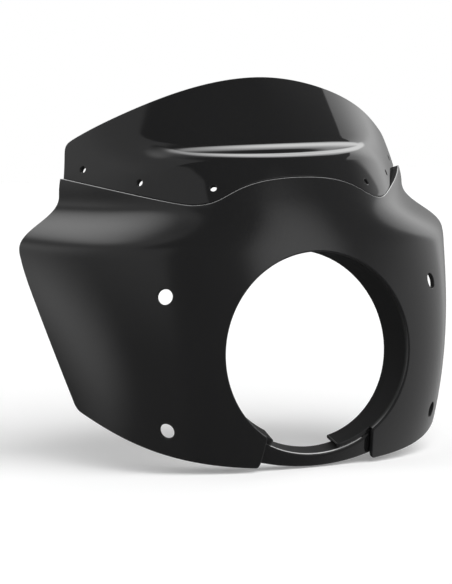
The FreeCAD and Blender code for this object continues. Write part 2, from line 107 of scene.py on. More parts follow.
@dataclass(frozen=True)
class Skin:
    """Outer skin of shell and windshield, in millimetres.

    It is the CAD model's surface with two ledges in the crease and a half width that narrows a little higher.
    A section at height z is a cubic curve in t, from -1 at the right wing to 1 at the left wing.
    """

    nose_ahead: float = 19.0
    nose_round: float = 18.0
    nose_rake: float = -13.2
    wing_depth: float = 250.0
    front_flat: float = 174.0
    corner_out: float = 219.0
    corner_back: float = 85.0
    wing_half: float = 253.0
    corner_out_rise: float = 12.0
    corner_back_rise: float = 14.0
    corner_back_round: float = 31.0
    wing_half_rise: float = 31.0
    neck_flat: float = 115.0
    neck_corner_out: float = 137.0
    neck_corner_back: float = -8.0
    neck_corner_rise: float = 61.0
    neck_half: float = 269.0
    neck_half_rise: float = -20.0
    shoulder_low: float = 103.0
    shoulder_high: float = 165.0
    shoulder_out: float = 6.0
    screen_flat_rise: float = -42.0
    screen_corner_rise: float = 7.0
    screen_back_rise: float = 8.0
    screen_half_rise: float = -27.0
    crease_height: float = 213.2
    crease_band: float = 24.0
    crease_side_band: float = 64.0
    crease_depth: float = 27.0
    crease_start: float = 80.0
    crease_run: float = 106.0
    lens_half: float = 112.0
    lens_height: float = 9.3
    lens_rise: float = 0.4
    lens_lift: float = 1.6
    lens_fade: tuple[float, float] = (96.0, 60.0)
    low_ledge: tuple[float, float] = (6.4, 2.0)
    high_ledge: tuple[float, float] = (6.2, 3.0)
    ledge_share: float = 0.42
    ledge_loss: float = 0.6

    def controls(self, z: Array) -> tuple[Array, Array, Array, Array, Array]:
        """Nose, flat, corner out, corner back and half width of the section at each height.

        Args:
            z: heights.

        Returns:
            Five arrays of the size of z.
        """
        s = z / 100.0
        up = np.maximum(z - self.shoulder_high, 0.0) / 100.0
        w = smooth((z - self.shoulder_low) / (self.shoulder_high - self.shoulder_low))
        nose = -self.nose_ahead + self.nose_round * s * s + self.nose_rake * up * up
        flat = self.front_flat + w * (self.neck_flat - self.front_flat) + self.screen_flat_rise * up * up
        out = self.corner_out + self.corner_out_rise * s
        out = out + w * (self.neck_corner_out - out) + self.screen_corner_rise * up * up
        back = self.corner_back + self.corner_back_rise * s + self.corner_back_round * s * s
        neck_back = self.neck_corner_back + self.neck_corner_rise * s
        back = back + w * (neck_back - back) + self.screen_back_rise * up * up
        half = self.wing_half + self.wing_half_rise * s
        neck_half = self.neck_half + self.neck_half_rise * s
        w = smooth((z - self.shoulder_out - self.shoulder_low) / (self.shoulder_high - self.shoulder_low))
        half = half + w * (neck_half - half) + self.screen_half_rise * up * up
        return nose, flat, out, back, half

    def lens(self, x: Array) -> tuple[Array, Array]:
        """Heights of the two bright edges of the lens-shaped hollow in the crease.

        Args:
            x: distances from the centre line.

        Returns:
            Lower and upper heights.
        """
        half = self.lens_height * np.sqrt(np.maximum(1.0 - (x / self.lens_half) ** 2, 0.0)) / 2.0
        lift = self.lens_lift * np.minimum((x / self.lens_half) ** 2, 1.0)
        middle = self.crease_height + self.lens_rise + lift
        return middle - half, middle + half

    def crease(self, x: Array, z: Array) -> Array:
        """Set-back of the moulded crease: one wide step, and two ledges with the hollow between them.

        Args:
            x: distances from the centre line.
            z: heights.

        Returns:
            Set-back to the rear.
        """
        soft = smooth((x - self.crease_start) / self.crease_run)
        band = self.crease_band + soft * (self.crease_side_band - self.crease_band)
        foot = self.crease_height - band / 2.0
        fade = smooth((x - self.lens_fade[0]) / self.lens_fade[1])
        share = self.ledge_share * (1.0 - self.ledge_loss * np.minimum(x / self.lens_half, 1.0) ** 2)
        rise = (1.0 - 2.0 * share) * smooth((z - foot) / band)
        for edge, (below, above) in zip(self.lens(x), (self.low_ledge, self.high_ledge)):
            start = (1.0 - fade) * (edge - below) + fade * foot
            width = (1.0 - fade) * (below + above) + fade * band
            lean = fade + (1.0 - fade) * math.log(0.5) / math.log(below / (below + above))
            rise = rise + share * smooth(np.clip((z - start) / width, 0.0, 1.0) ** lean)
        return self.crease_depth * rise

    def point(self, t: Array, z: Array) -> Array:
        """Points of the skin.

        Args:
            t: places on the skin from -1 to 1.
            z: heights.

        Returns:
            Array with x, y and z in its last axis.
        """
        nose, flat, out, back, half = self.controls(z)
        a = np.abs(t)
        b1 = 3.0 * (1.0 - a) ** 2 * a
        b2 = 3.0 * (1.0 - a) * a * a
        b3 = a * a * a
        x = b1 * flat + b2 * out + b3 * half
        nose = nose + self.crease(x, z)
        y = nose + b2 * (back - nose) + b3 * (self.wing_depth - nose)
        return np.stack([np.copysign(x, t), y, z], axis=-1)

    def slopes(self, t: Array, z: Array) -> tuple[Array, Array]:
        """Change of the point per unit of t and per millimetre of height.

        Args:
            t: places on the skin from -1 to 1.
            z: heights.

        Returns:
            The two changes as vectors.
        """
        dt, dz = 0.002, 0.1
        across = (self.point(t + dt, z) - self.point(t - dt, z)) / (2.0 * dt)
        up = (self.point(t, z + dz) - self.point(t, z - dz)) / (2.0 * dz)
        return across, up

    def normal(self, t: Array, z: Array) -> Array:
        """Unit normals that point into the fairing."""
        across, up = self.slopes(t, z)
        return unit(np.cross(up, across))

    def at_x(self, x: Array, z: Array) -> Array:
        """Place t on the section at height z where the skin reaches x in the front view."""
        return self._solve(x, z, 0)

    def at_y(self, y: Array, z: Array) -> Array:
        """Place t on the left half of the section at height z where the skin reaches depth y."""
        return self._solve(y, z, 1)

    def _solve(self, goal: Array, z: Array, axis: int) -> Array:
        """Bisection for the t at which one coordinate of the skin reaches a goal.

        Args:
            goal: values to reach.
            z: heights.
            axis: 0 for x, 1 for y.

        Returns:
            Places t, with the sign of the goal for x.
        """
        goal, z = np.broadcast_arrays(np.asarray(goal, dtype=float), np.asarray(z, dtype=float))
        low = np.zeros(goal.shape)
        high = np.full(goal.shape, 1.2)
        size = np.abs(goal) if axis == 0 else goal
        for _ in range(44):
            middle = (low + high) / 2.0
            short = self.point(middle, z)[..., axis] < size
            low = np.where(short, middle, low)
            high = np.where(short, high, middle)
        return np.copysign(low, goal) if axis == 0 else low

    def under(self, x: Array, z: Array, depth: float) -> tuple[Array, Array]:
        """Points at a depth under the skin, with their inward normals, for places in the front view.

        Args:
            x: places across.
            z: heights.
            depth: distance under the skin.

        Returns:
            Points and normals.
        """
        t = self.at_x(x, z)
        n = self.normal(t, z)
        p = self.point(t, z)
        p[..., 1] += depth / n[..., 1]
        return p, n


@dataclass(frozen=True)
class EndStep:
    """Step by which the shell stands proud of the windshield at the ends of the parting line."""

    proud: float = 6.0
    start: float = 115.0
    run: float = 80.0
    drop: float = 50.0
    end: float = 187.0

    def height(self, points: Array) -> Array:
        """Height of the step over the skin at points of the skin.

        Args:
            points: points of the skin.

        Returns:
            One height for each point.
        """
        out = smooth((np.abs(points[..., 0]) - self.start) / self.run)
        up = smooth((points[..., 2] - self.end) / self.drop + 1.0)
        return self.proud * out * up


@dataclass(frozen=True)
class Tunnel:
    """Short tunnel behind the headlight opening: straight lines between two leaning rings."""

    radius: float = 108.0
    back: float = 50.0
    rise: float = 4.7
    rim_radius: float = 102.5
    lean: float = math.radians(10.5)
    start: float = -0.6

    def ring(self, run: float, phi: Array, grow: float) -> Array:
        """Points of the ring at a share of the tunnel's length, its wall moved outwards by grow.

        Args:
            run: share of the length.
            phi: angles round the axis.
            grow: move of the wall.

        Returns:
            Points of the ring.
        """
        radius = self.radius + run * (self.rim_radius - self.radius) + grow
        tilt = run * self.lean
        rise = radius * np.sin(phi)
        x = radius * np.cos(phi)
        y = run * self.back + rise * math.sin(tilt)
        z = run * self.rise + rise * math.cos(tilt)
        return np.stack([x, y, z], -1)

    def line(self, phi: Array, s: Array, grow: float) -> Array:
        """Points on the wall; s runs from 0 ahead of the lip to 1 at the rear rim.

        Args:
            phi: angles round the axis.
            s: shares along the wall.
            grow: move of the wall.

        Returns:
            Points on the wall.
        """
        front = self.ring(self.start, phi, grow)
        rear = self.ring(1.0, phi, grow)
        return front + (rear - front) * np.asarray(s)[..., None]

    def along(self, phi: Array) -> Array:
        """Unit vectors along the wall, to the rear."""
        return unit(self.ring(1.0, phi, 0.0) - self.ring(self.start, phi, 0.0))

    def facing(self, phi: Array) -> Array:
        """Unit normals of the wall that point to the axis.

        Args:
            phi: angles round the axis.

        Returns:
            One normal for each angle.
        """
        step = 1e-3
        round_wall = self.line(phi + step, 0.7 + 0 * phi, 0.0) - self.line(phi - step, 0.7 + 0 * phi, 0.0)
        n = unit(np.cross(round_wall, self.along(phi)))
        inward = self.ring(0.5, phi, 0.0) - np.array([0.0, self.back / 2.0, self.rise / 2.0])
        return np.where(np.sum(n * inward, -1, keepdims=True) > 0.0, -n, n)

    def meet(self, skin: Skin, phi: Array, depth: float, grow: float) -> Array:
        """Share s at which the wall's lines reach a depth under the skin.

        Args:
            skin: skin that the wall meets.
            phi: angles round the axis.
            depth: distance under the skin.
            grow: move of the wall.

        Returns:
            One share for each angle.
        """
        low = np.zeros(phi.shape)
        high = np.ones(phi.shape)
        for _ in range(36):
            s = (low + high) / 2.0
            p = self.line(phi, s, grow)
            t = skin.at_x(p[..., 0], p[..., 2])
            level = skin.point(t, p[..., 2])[..., 1]
            deep = (p[..., 1] - level) * skin.normal(t, p[..., 2])[..., 1]
            low = np.where(deep < depth, s, low)
            high = np.where(deep < depth, high, s)
        return (low + high) / 2.0


@dataclass
class Draft:
    """Growing mesh: points in millimetres, outward normals and faces."""

    points: list[Array] = field(default_factory=list)
    normals: list[Array] = field(default_factory=list)
    painted_highlights: list[Array] = field(default_factory=list)
    matts: list[Array] = field(default_factory=list)
    faces: list[tuple[int, ...]] = field(default_factory=list)
    count: int = 0

    def add(
        self, points: Array, normals: Array, painted_highlight: Array | float = 0.0, matt: Array | float = 0.0
    ) -> Array:
        """Adds points to the mesh.

        Args:
            points: rows of 3.
            normals: outward normals of any length.
            painted_highlight: share of the painted highlight at each point, a pale colour painted on the edge
                in place of its bright reflection.
            matt: share of unpolished surface at each point.

        Returns:
            Numbers of the points in the mesh.
        """
        self.points.append(points)
        self.normals.append(unit(normals))
        self.painted_highlights.append(np.broadcast_to(np.asarray(painted_highlight, dtype=float), (len(points),)))
        self.matts.append(np.broadcast_to(np.asarray(matt, dtype=float), (len(points),)))
        first = self.count
        self.count += len(points)
        return np.arange(first, self.count)

    def strip(self, rows: list[Array], closed: bool) -> None:
        """Adds the faces between rows of points that run beside each other.

        Args:
            rows: numbers of the points, the first row being the sheet's own edge.
            closed: whether the rows are rings.
        """
        n = len(rows[0])
        for near, far in zip(rows[:-1], rows[1:]):
            for i in range(n if closed else n - 1):
                j = (i + 1) % n
                self.faces.append((int(near[j]), int(near[i]), int(far[i]), int(far[j])))

    def cap(self, column: list[int], normal: Array) -> None:
        """Adds one flat face over the end of a strip, with its own points.

        Args:
            column: numbers of the points round the face.
            normal: its outward normal.
        """
        points = np.concatenate(self.points)[column]
        numbers = self.add(points, np.repeat(normal[None], len(points), 0))
        self.faces.append(tuple(int(i) for i in numbers))

    def to_object(self, name: str) -> bpy.types.Object:
        """Mesh object in metres with the draft's own normals.

        Args:
            name: name of the object and of its mesh.

        Returns:
            Object that is in the scene.
        """
        mesh = bpy.data.meshes.new(name)
        mesh.from_pydata((np.concatenate(self.points) * MM).tolist(), [], self.faces)
        mesh.polygons.foreach_set("use_smooth", [True] * len(mesh.polygons))
        mesh.update()
        mesh.normals_split_custom_set_from_vertices(np.concatenate(self.normals).tolist())
        for label, values in ((PAINTED_HIGHLIGHT, self.painted_highlights), (MATT, self.matts)):
            share = mesh.attributes.new(label, "FLOAT", "POINT")
            share.data.foreach_set("value", np.concatenate(values).astype(np.float32))
        obj = bpy.data.objects.new(name, mesh)
        bpy.context.scene.collection.objects.link(obj)
        return obj


def inside(points: Array, loops: list[Array]) -> Array:
    """Even-odd test of plane points against closed loops.

    Args:
        points: plane points.
        loops: closed outlines.

    Returns:
        True for each point that lies between the loops.
    """
    result = np.zeros(len(points), dtype=bool)
    for loop in loops:
        for a, b in zip(loop, np.roll(loop, -1, axis=0)):
            if a[1] == b[1]:
                continue
            crosses = (a[1] > points[:, 1]) != (b[1] > points[:, 1])
            x = a[0] + (points[:, 1] - a[1]) * (b[0] - a[0]) / (b[1] - a[1])
            result ^= crosses & (points[:, 0] < x)
    return result


def fill(loops: list[Array], grid: Array, clear: float) -> tuple[Array, list[tuple[int, ...]]]:
    """Triangles between closed loops of a plane, through the grid points inside them.

    Args:
        loops: closed outlines, the outer one first.
        grid: points that may be used inside.
        clear: least distance of a used grid point from the loops.

    Returns:
        All points, the loops' own first and in order, and the triangles.
    """
    edge = np.concatenate(loops)
    free = grid[inside(grid, loops)]
    keep = np.ones(len(free), dtype=bool)
    for first in range(0, len(free), 2000):
        part = free[first:first + 2000]
        near = np.min(np.sum((part[:, None] - edge[None]) ** 2, -1), 1)
        keep[first:first + 2000] = near > clear * clear
    coords = np.concatenate([edge, free[keep]])
    edges = []
    first = 0
    for loop in loops:
        n = len(loop)
        edges += [(first + i, first + (i + 1) % n) for i in range(n)]
        first += n
    verts, _, tris, origin, _, _ = delaunay_2d_cdt([Vector(p) for p in coords], edges, [], 0, 1e-7)
    number = [o[0] if o else -1 for o in origin]
    middle = np.array([np.mean([verts[i] for i in tri], axis=0) for tri in tris])
    held = inside(middle, loops)
    faces = [tuple(number[i] for i in tri) for tri, good in zip(tris, held) if good]
    return coords, [f for f in faces if min(f) >= 0]


def edge_out(points: Array, inward: Array, closed: bool = True) -> Array:
    """Vectors that point out of a sheet at its edge, lengthened at corners as a mitre is.

    Args:
        points: points along the edge.
        inward: normals into the sheet.
        closed: whether the edge is a ring.

    Returns:
        One vector for each point.
    """
    ahead = unit(np.roll(points, -1, axis=0) - points)
    behind = unit(points - np.roll(points, 1, axis=0))
    if not closed:
        ahead[-1] = behind[-1]
        behind[0] = ahead[0]
    a = unit(np.cross(ahead, -inward))
    b = unit(np.cross(behind, -inward))
    share = 1.0 + np.sum(a * b, -1, keepdims=True)
    return (a + b) / np.maximum(share, 0.9)


def edge_rows(
    points: Array, inward: Array, out: Array, wall: Array | float, radius: float
) -> list[tuple[Array, Array]]:
    """Rows of points and normals round a sheet's rounded edge, without its two faces' own points.

    Args:
        points: edge of the outer face.
        inward: unit vectors through the sheet.
        out: vectors out of the sheet.
        wall: thickness.
        radius: rounding.

    Returns:
        Pairs of points and normals, from the outer to the inner face.
    """
    rows = []
    steps = np.radians([30.0, 60.0, 90.0])
    for a in steps:
        shift = out * radius * math.sin(a) + inward * radius * (1.0 - math.cos(a))
        rows.append((points + shift, out * math.sin(a) - inward * math.cos(a)))
    for a in np.radians([0.0, 30.0, 60.0]):
        shift = out * radius * math.cos(a) + inward * (wall - radius + radius * math.sin(a))
        rows.append((points + shift, out * math.cos(a) + inward * math.sin(a)))
    return rows


def draft_points(draft: Draft, numbers: Array) -> Array:
    """Points of a draft by their numbers."""
    return np.concatenate(draft.points)[numbers]


@dataclass
class SkinSheet:
    """Moulded sheet that follows the skin at some depth, cut out by outlines in t and z."""

    skin: Skin
    depth: float
    wall: float
    radius: float
    spacing: float
    step: EndStep | None = None
    faces: list[tuple[int, ...]] = field(default_factory=list)

    def plain(self, t: Array, z: Array) -> tuple[Array, Array]:
        """Points and inward normals at the sheet's depth, without the step."""
        n = self.skin.normal(t, z)
        return self.skin.point(t, z) + n * self.depth, n

    def stepped(self, t: Array, z: Array) -> Array:
        """Points of the outer face with the step."""
        p, n = self.plain(t, z)
        return p - n * self.step.height(p)[..., None]

    def place(self, tz: Array) -> tuple[Array, Array]:
        """Points and inward normals of the sheet's outer face.

        Args:
            tz: places in t and z.

        Returns:
            Points and normals.
        """
        t, z = tz[:, 0], tz[:, 1]
        if self.step is None:
            return self.plain(t, z)
        dt, dz = 0.002, 0.1
        across = self.stepped(t + dt, z) - self.stepped(t - dt, z)
        up = self.stepped(t, z + dz) - self.stepped(t, z - dz)
        return self.stepped(t, z), unit(np.cross(up, across))

    def inset(self, loop: Array, radius: Array) -> Array:
        """Outline moved into the sheet by the rounding of its edge.

        Args:
            loop: outline in t and z.
            radius: rounding at each of its points.

        Returns:
            Moved outline in t and z.
        """
        p, n = self.place(loop)
        across, up = self.skin.slopes(loop[:, 0], loop[:, 1])
        shift = -edge_out(p, n) * radius[:, None]
        aa = np.sum(across * across, -1)
        ab = np.sum(across * up, -1)
        bb = np.sum(up * up, -1)
        sa = np.sum(shift * across, -1)
        sb = np.sum(shift * up, -1)
        det = aa * bb - ab * ab
        return loop + np.stack([(sa * bb - sb * ab) / det, (sb * aa - sa * ab) / det], -1)

    def grid(self, low: float, high: float, fine: tuple[float, float] | None) -> Array:
        """Even places on the skin between two heights, with closer rows in a fine band.

        Args:
            low: lowest height.
            high: highest height.
            fine: heights between which the rows are closer.

        Returns:
            Places in t and z.
        """
        t = np.linspace(0.0, 1.15, 800)
        arc = self.skin.point(t, np.full(t.shape, (low + high) / 2.0))
        run = np.concatenate([[0.0], np.cumsum(np.linalg.norm(np.diff(arc, axis=0), axis=1))])
        half = np.interp(np.arange(self.spacing, run[-1], self.spacing), run, t)
        columns = np.concatenate([-half[::-1], [0.0], half])
        rows = np.arange(low, high, self.spacing)
        if fine:
            rows = rows[(rows < fine[0]) | (rows > fine[1])]
            rows = np.sort(np.concatenate([rows, np.arange(fine[0], fine[1], self.spacing / 7.0)]))
        t, z = np.meshgrid(columns, rows)
        return np.stack([t.ravel(), z.ravel()], -1)

    def hole(self, x: float, z: float, radius: float, count: int) -> Array:
        """Outline of a round hole square to the skin, running clockwise.

        Args:
            x: place across of its centre.
            z: height of its centre.
            radius: its radius.
            count: number of points.

        Returns:
            Outline in t and z.
        """
        t0 = self.skin.at_x(np.array(x), np.array(z))
        centre = self.skin.point(t0, np.array(z))
        n = self.skin.normal(t0, np.array(z))
        side = unit(np.cross(np.array([0.0, 0.0, 1.0]), n))
        up = np.cross(n, side)
        turn = np.linspace(0.0, 2.0 * math.pi, count, endpoint=False)
        ring = centre + radius * (np.cos(turn)[:, None] * side + np.sin(turn)[:, None] * up)
        for _ in range(6):
            t = self.skin.at_x(ring[:, 0], ring[:, 2])
            gap = np.sum((self.skin.point(t, ring[:, 2]) - ring) * self.skin.normal(t, ring[:, 2]), -1)
            ring = ring + gap[:, None] * n
        loop = np.stack([self.skin.at_x(ring[:, 0], ring[:, 2]), ring[:, 2]], -1)
        area = np.sum(loop[:, 0] * np.roll(loop[:, 1], -1) - loop[:, 1] * np.roll(loop[:, 0], -1))
        return loop if area < 0.0 else loop[::-1]

    def lay(
        self, draft: Draft, loops: list[Array], radii: list[Array], grid: Array
    ) -> tuple[Array, Array, list[Array]]:
        """Adds the outer face inside outlines whose edges are rounded.

        Args:
            draft: mesh that takes the face.
            loops: true outlines in t and z, the outer one first.
            radii: rounding at each point of the outlines.
            grid: places for points inside.

        Returns:
            Places of all points in t and z, their numbers, and the numbers along each outline.
        """
        scale = np.array([330.0, 1.0])
        trimmed = [self.inset(loop, radius) * scale for loop, radius in zip(loops, radii)]
        flat, faces = fill(trimmed, grid * scale, 0.45 * self.spacing)
        tz = flat / scale
        p, n = self.place(tz)
        numbers = draft.add(p, -n)
        draft.faces += [tuple(int(numbers[i]) for i in f) for f in faces]
        ends = np.cumsum([len(loop) for loop in loops])
        rings = [numbers[e - len(loop):e] for e, loop in zip(ends, loops)]
        self.faces = faces
        return tz, numbers, rings

    def back(self, draft: Draft, tz: Array) -> Array:
        """Adds the inner face under the face that lay added last and returns its numbers.

        Args:
            draft: mesh that takes the face.
            tz: places of its points.

        Returns:
            Numbers of its points.
        """
        p, n = self.plain(tz[:, 0], tz[:, 1])
        numbers = draft.add(p + n * self.wall, n, matt=INNER_MATT)
        draft.faces += [tuple(int(numbers[i]) for i in reversed(f)) for f in self.faces]
        return numbers

    def edge(self, draft: Draft, tz: Array, outer: Array, inner: Array, closed: bool = True,
             painted_highlight: Array | float = 0.0) -> None:
        """Adds the rounded edge between the two faces along one outline or a part of it.

        Args:
            draft: mesh that takes the edge.
            tz: places along the outer face.
            outer: numbers along the outer face.
            inner: numbers along the inner face.
            closed: whether the edge is a ring.
            painted_highlight: share of the painted highlight at each place, a pale colour painted on the edge
                in place of its bright reflection.
        """
        p = self.place(tz)[0]
        through = draft_points(draft, inner) - p
        wall = np.linalg.norm(through, axis=1)[:, None]
        n = through / wall
        out = edge_out(p, n, closed)
        rows = [outer]
        for k, (q, m) in enumerate(edge_rows(p, n, out, wall, self.radius)):
            # Painted highlight on the two outer rows of the rounding; the rest of the edge is matt.
            rows.append(draft.add(q, m, painted_highlight if k < 2 else 0.0, 0.0 if k < 2 else 1.0))
        draft.strip(rows + [inner], closed)


def plate(
    draft: Draft, points: Array, inward: Array, wall: float, radius: float,
    painted_highlight: Array | float = 0.0, matt: Array | float = 0.0,
) -> None:
    """Adds a curved plate with rounded edges from a grid of points of its outer face.

    Args:
        draft: mesh that takes the plate.
        points: rows by columns by 3, its outward side to the left of a row as it runs on.
        inward: unit normals into the plate.
        wall: its thickness.
        radius: rounding of its edges.
        painted_highlight: share of the painted highlight at each point of its outer face, a pale colour
            painted on the edge in place of its bright reflection.
        matt: share of unpolished surface at each point of its outer face.
    """
    rows, columns = points.shape[:2]
    outer = draft.add(points.reshape(-1, 3), -inward.reshape(-1, 3), painted_highlight, matt).reshape(rows, columns)
    under = (points + inward * wall).reshape(-1, 3)
    inner = draft.add(under, inward.reshape(-1, 3), matt=INNER_MATT).reshape(rows, columns)
    round_cell = ((0, 0), (0, 1), (1, 1), (1, 0))
    for i in range(rows - 1):
        for j in range(columns - 1):
            draft.faces.append(tuple(int(outer[i + a, j + b]) for a, b in round_cell))
            draft.faces.append(tuple(int(inner[i + b, j + a]) for a, b in round_cell))
    index = np.arange(rows * columns).reshape(rows, columns)
    ring = np.concatenate([index[0, :-1], index[:-1, -1], index[-1, :0:-1], index[:0:-1, 0]])
    p = points.reshape(-1, 3)[ring]
    n = inward.reshape(-1, 3)[ring]
    out = edge_out(p, n)
    strip = [outer.ravel()[ring]]
    strip += [draft.add(q, m) for q, m in edge_rows(p, n, out, wall, radius)]
    draft.strip(strip + [inner.ravel()[ring]], True)


@dataclass(frozen=True)
class PartingLine:
    """Line between shell and windshield in the front view."""

    crown: float = 185.5
    crown_pull: float = 80.0
    trough_out: float = 113.0
    trough: float = 159.0
    trough_pull: float = 35.0
    flank_pull: float = 14.0
    end_out: float = 205.0
    end: float = 187.0
    end_pull: float = 25.0

    def half(self, crown: float, trough: float, end: float, count: int) -> Array:
        """Left half of a line beside the parting line, moved up at three places, from the centre outwards.

        Args:
            crown: rise at the centre.
            trough: rise at the lowest place.
            end: rise at the end.
            count: points on each of its two curves.

        Returns:
            Places across and heights.
        """
        crown += self.crown
        low = np.array([self.trough_out, self.trough + trough])
        tip = np.array([self.end_out, self.end + end])
        knee = low + (self.flank_pull, 0.0)
        inner = bezier([(0.0, crown), (self.crown_pull, crown), low - (self.trough_pull, 0.0), low], count)
        outer = bezier([low, knee, tip - unit(tip - knee) * self.end_pull, tip], count)
        return np.concatenate([inner, outer[1:]])


def both_sides(half: Array) -> Array:
    """Closed outline from its left half, which starts and ends on the centre line."""
    mirror = half[-2:0:-1] * (-1.0, 1.0)
    return np.concatenate([half, mirror])


class Surface(Enum):
    """Kinds of moulded surface on the fairing."""

    SHELL = "shell_plastic"
    SCREEN = "screen_plastic"
    STRAP = "strap_plastic"


@dataclass(frozen=True)
class GlossPlastic:
    """Gloss-black moulded plastic with faint flow ripples and a little dust, matt where it isn't polished,
    and a pale painted highlight on marked edges.
    """

    surface: Surface
    colour: tuple[float, float, float]
    dust_colour: tuple[float, float, float]
    roughness: float
    dusty_roughness: float
    ripple: float
    dust: float
    # Pale colour painted on marked edges as a highlight, in place of their bright reflection.
    painted_highlight_colour: tuple[float, float, float] = (0.3, 0.3, 0.3)
    matt_roughness: float = 1.0

    def material(self) -> bpy.types.Material:
        """Principled material of this finish.

        Returns:
            New material with the nodes in place.
        """
        mat = bpy.data.materials.new(self.surface.value)
        mat.use_nodes = True
        nodes, links = mat.node_tree.nodes, mat.node_tree.links
        shader = nodes["Principled BSDF"]
        shader.inputs["IOR"].default_value = 1.5
        where = nodes.new("ShaderNodeTexCoord")
        ripple = nodes.new("ShaderNodeGroup")
        ripple.node_tree = ripple_group()
        ripple.inputs["Amount"].default_value = self.ripple
        links.new(where.outputs["Object"], ripple.inputs["Vector"])
        bump = nodes.new("ShaderNodeBump")
        bump.inputs["Strength"].default_value = 1.0
        bump.inputs["Distance"].default_value = MM
        links.new(ripple.outputs["Height"], bump.inputs["Height"])
        links.new(bump.outputs["Normal"], shader.inputs["Normal"])
        dust = nodes.new("ShaderNodeGroup")
        dust.node_tree = dust_group()
        dust.inputs["Amount"].default_value = self.dust
        dust.inputs["Clean Colour"].default_value = (*self.colour, 1.0)
        dust.inputs["Dust Colour"].default_value = (*self.dust_colour, 1.0)
        dust.inputs["Clean Roughness"].default_value = self.roughness
        dust.inputs["Dust Roughness"].default_value = self.dusty_roughness
        links.new(where.outputs["Object"], dust.inputs["Vector"])
        # Painted highlight: marked edges get the pale colour mixed into their base colour.
        painted_highlight = nodes.new("ShaderNodeAttribute")
        painted_highlight.attribute_name = PAINTED_HIGHLIGHT
        colour = nodes.new("ShaderNodeMix")
        colour.data_type = "RGBA"
        colour.inputs["B"].default_value = (*self.painted_highlight_colour, 1.0)
        links.new(painted_highlight.outputs["Fac"], colour.inputs["Factor"])
        links.new(dust.outputs["Colour"], colour.inputs["A"])
        links.new(colour.outputs["Result"], shader.inputs["Base Color"])
        matt = nodes.new("ShaderNodeAttribute")
        matt.attribute_name = MATT
        rough = nodes.new("ShaderNodeMix")
        rough.data_type = "FLOAT"
        rough.inputs["B"].default_value = self.matt_roughness
        links.new(matt.outputs["Fac"], rough.inputs["Factor"])
        links.new(dust.outputs["Roughness"], rough.inputs["A"])
        links.new(rough.outputs["Result"], shader.inputs["Roughness"])
        return mat


def new_group(name: str, inputs: list[tuple[str, str]], outputs: list[tuple[str, str]]) -> bpy.types.NodeTree:
    """Empty shader node group with named sockets.

    Args:
        name: name of the group.
        inputs: socket names with their kinds.
        outputs: socket names with their kinds.

    Returns:
        The group, with its input and output nodes in place.
    """
    tree = bpy.data.node_groups.new(name, "ShaderNodeTree")
    for label, kind in inputs:
        tree.interface.new_socket(label, in_out="INPUT", socket_type=kind)
    for label, kind in outputs:
        tree.interface.new_socket(label, in_out="OUTPUT", socket_type=kind)
    tree.nodes.new("NodeGroupInput")
    tree.nodes.new("NodeGroupOutput")
    return tree


def ripple_group() -> bpy.types.NodeTree:
    """Height of the faint ripples that a moulded gloss surface keeps.

    Returns:
        Node group that all finishes share.
    """
    name = "moulded_ripple"
    if name in bpy.data.node_groups:
        return bpy.data.node_groups[name]
    tree = new_group(name, [("Vector", "NodeSocketVector"), ("Amount", "NodeSocketFloat")],
                     [("Height", "NodeSocketFloat")])
    start, end = tree.nodes["Group Input"], tree.nodes["Group Output"]
    wide = tree.nodes.new("ShaderNodeTexNoise")
    wide.inputs["Scale"].default_value = 22.0
    wide.inputs["Detail"].default_value = 1.0
    tree.links.new(start.outputs["Vector"], wide.inputs["Vector"])
    height = tree.nodes.new("ShaderNodeMath")
    height.operation = "MULTIPLY"
    tree.links.new(wide.outputs["Fac"], height.inputs[0])
    tree.links.new(start.outputs["Amount"], height.inputs[1])
    tree.links.new(height.outputs[0], end.inputs["Height"])
    return tree


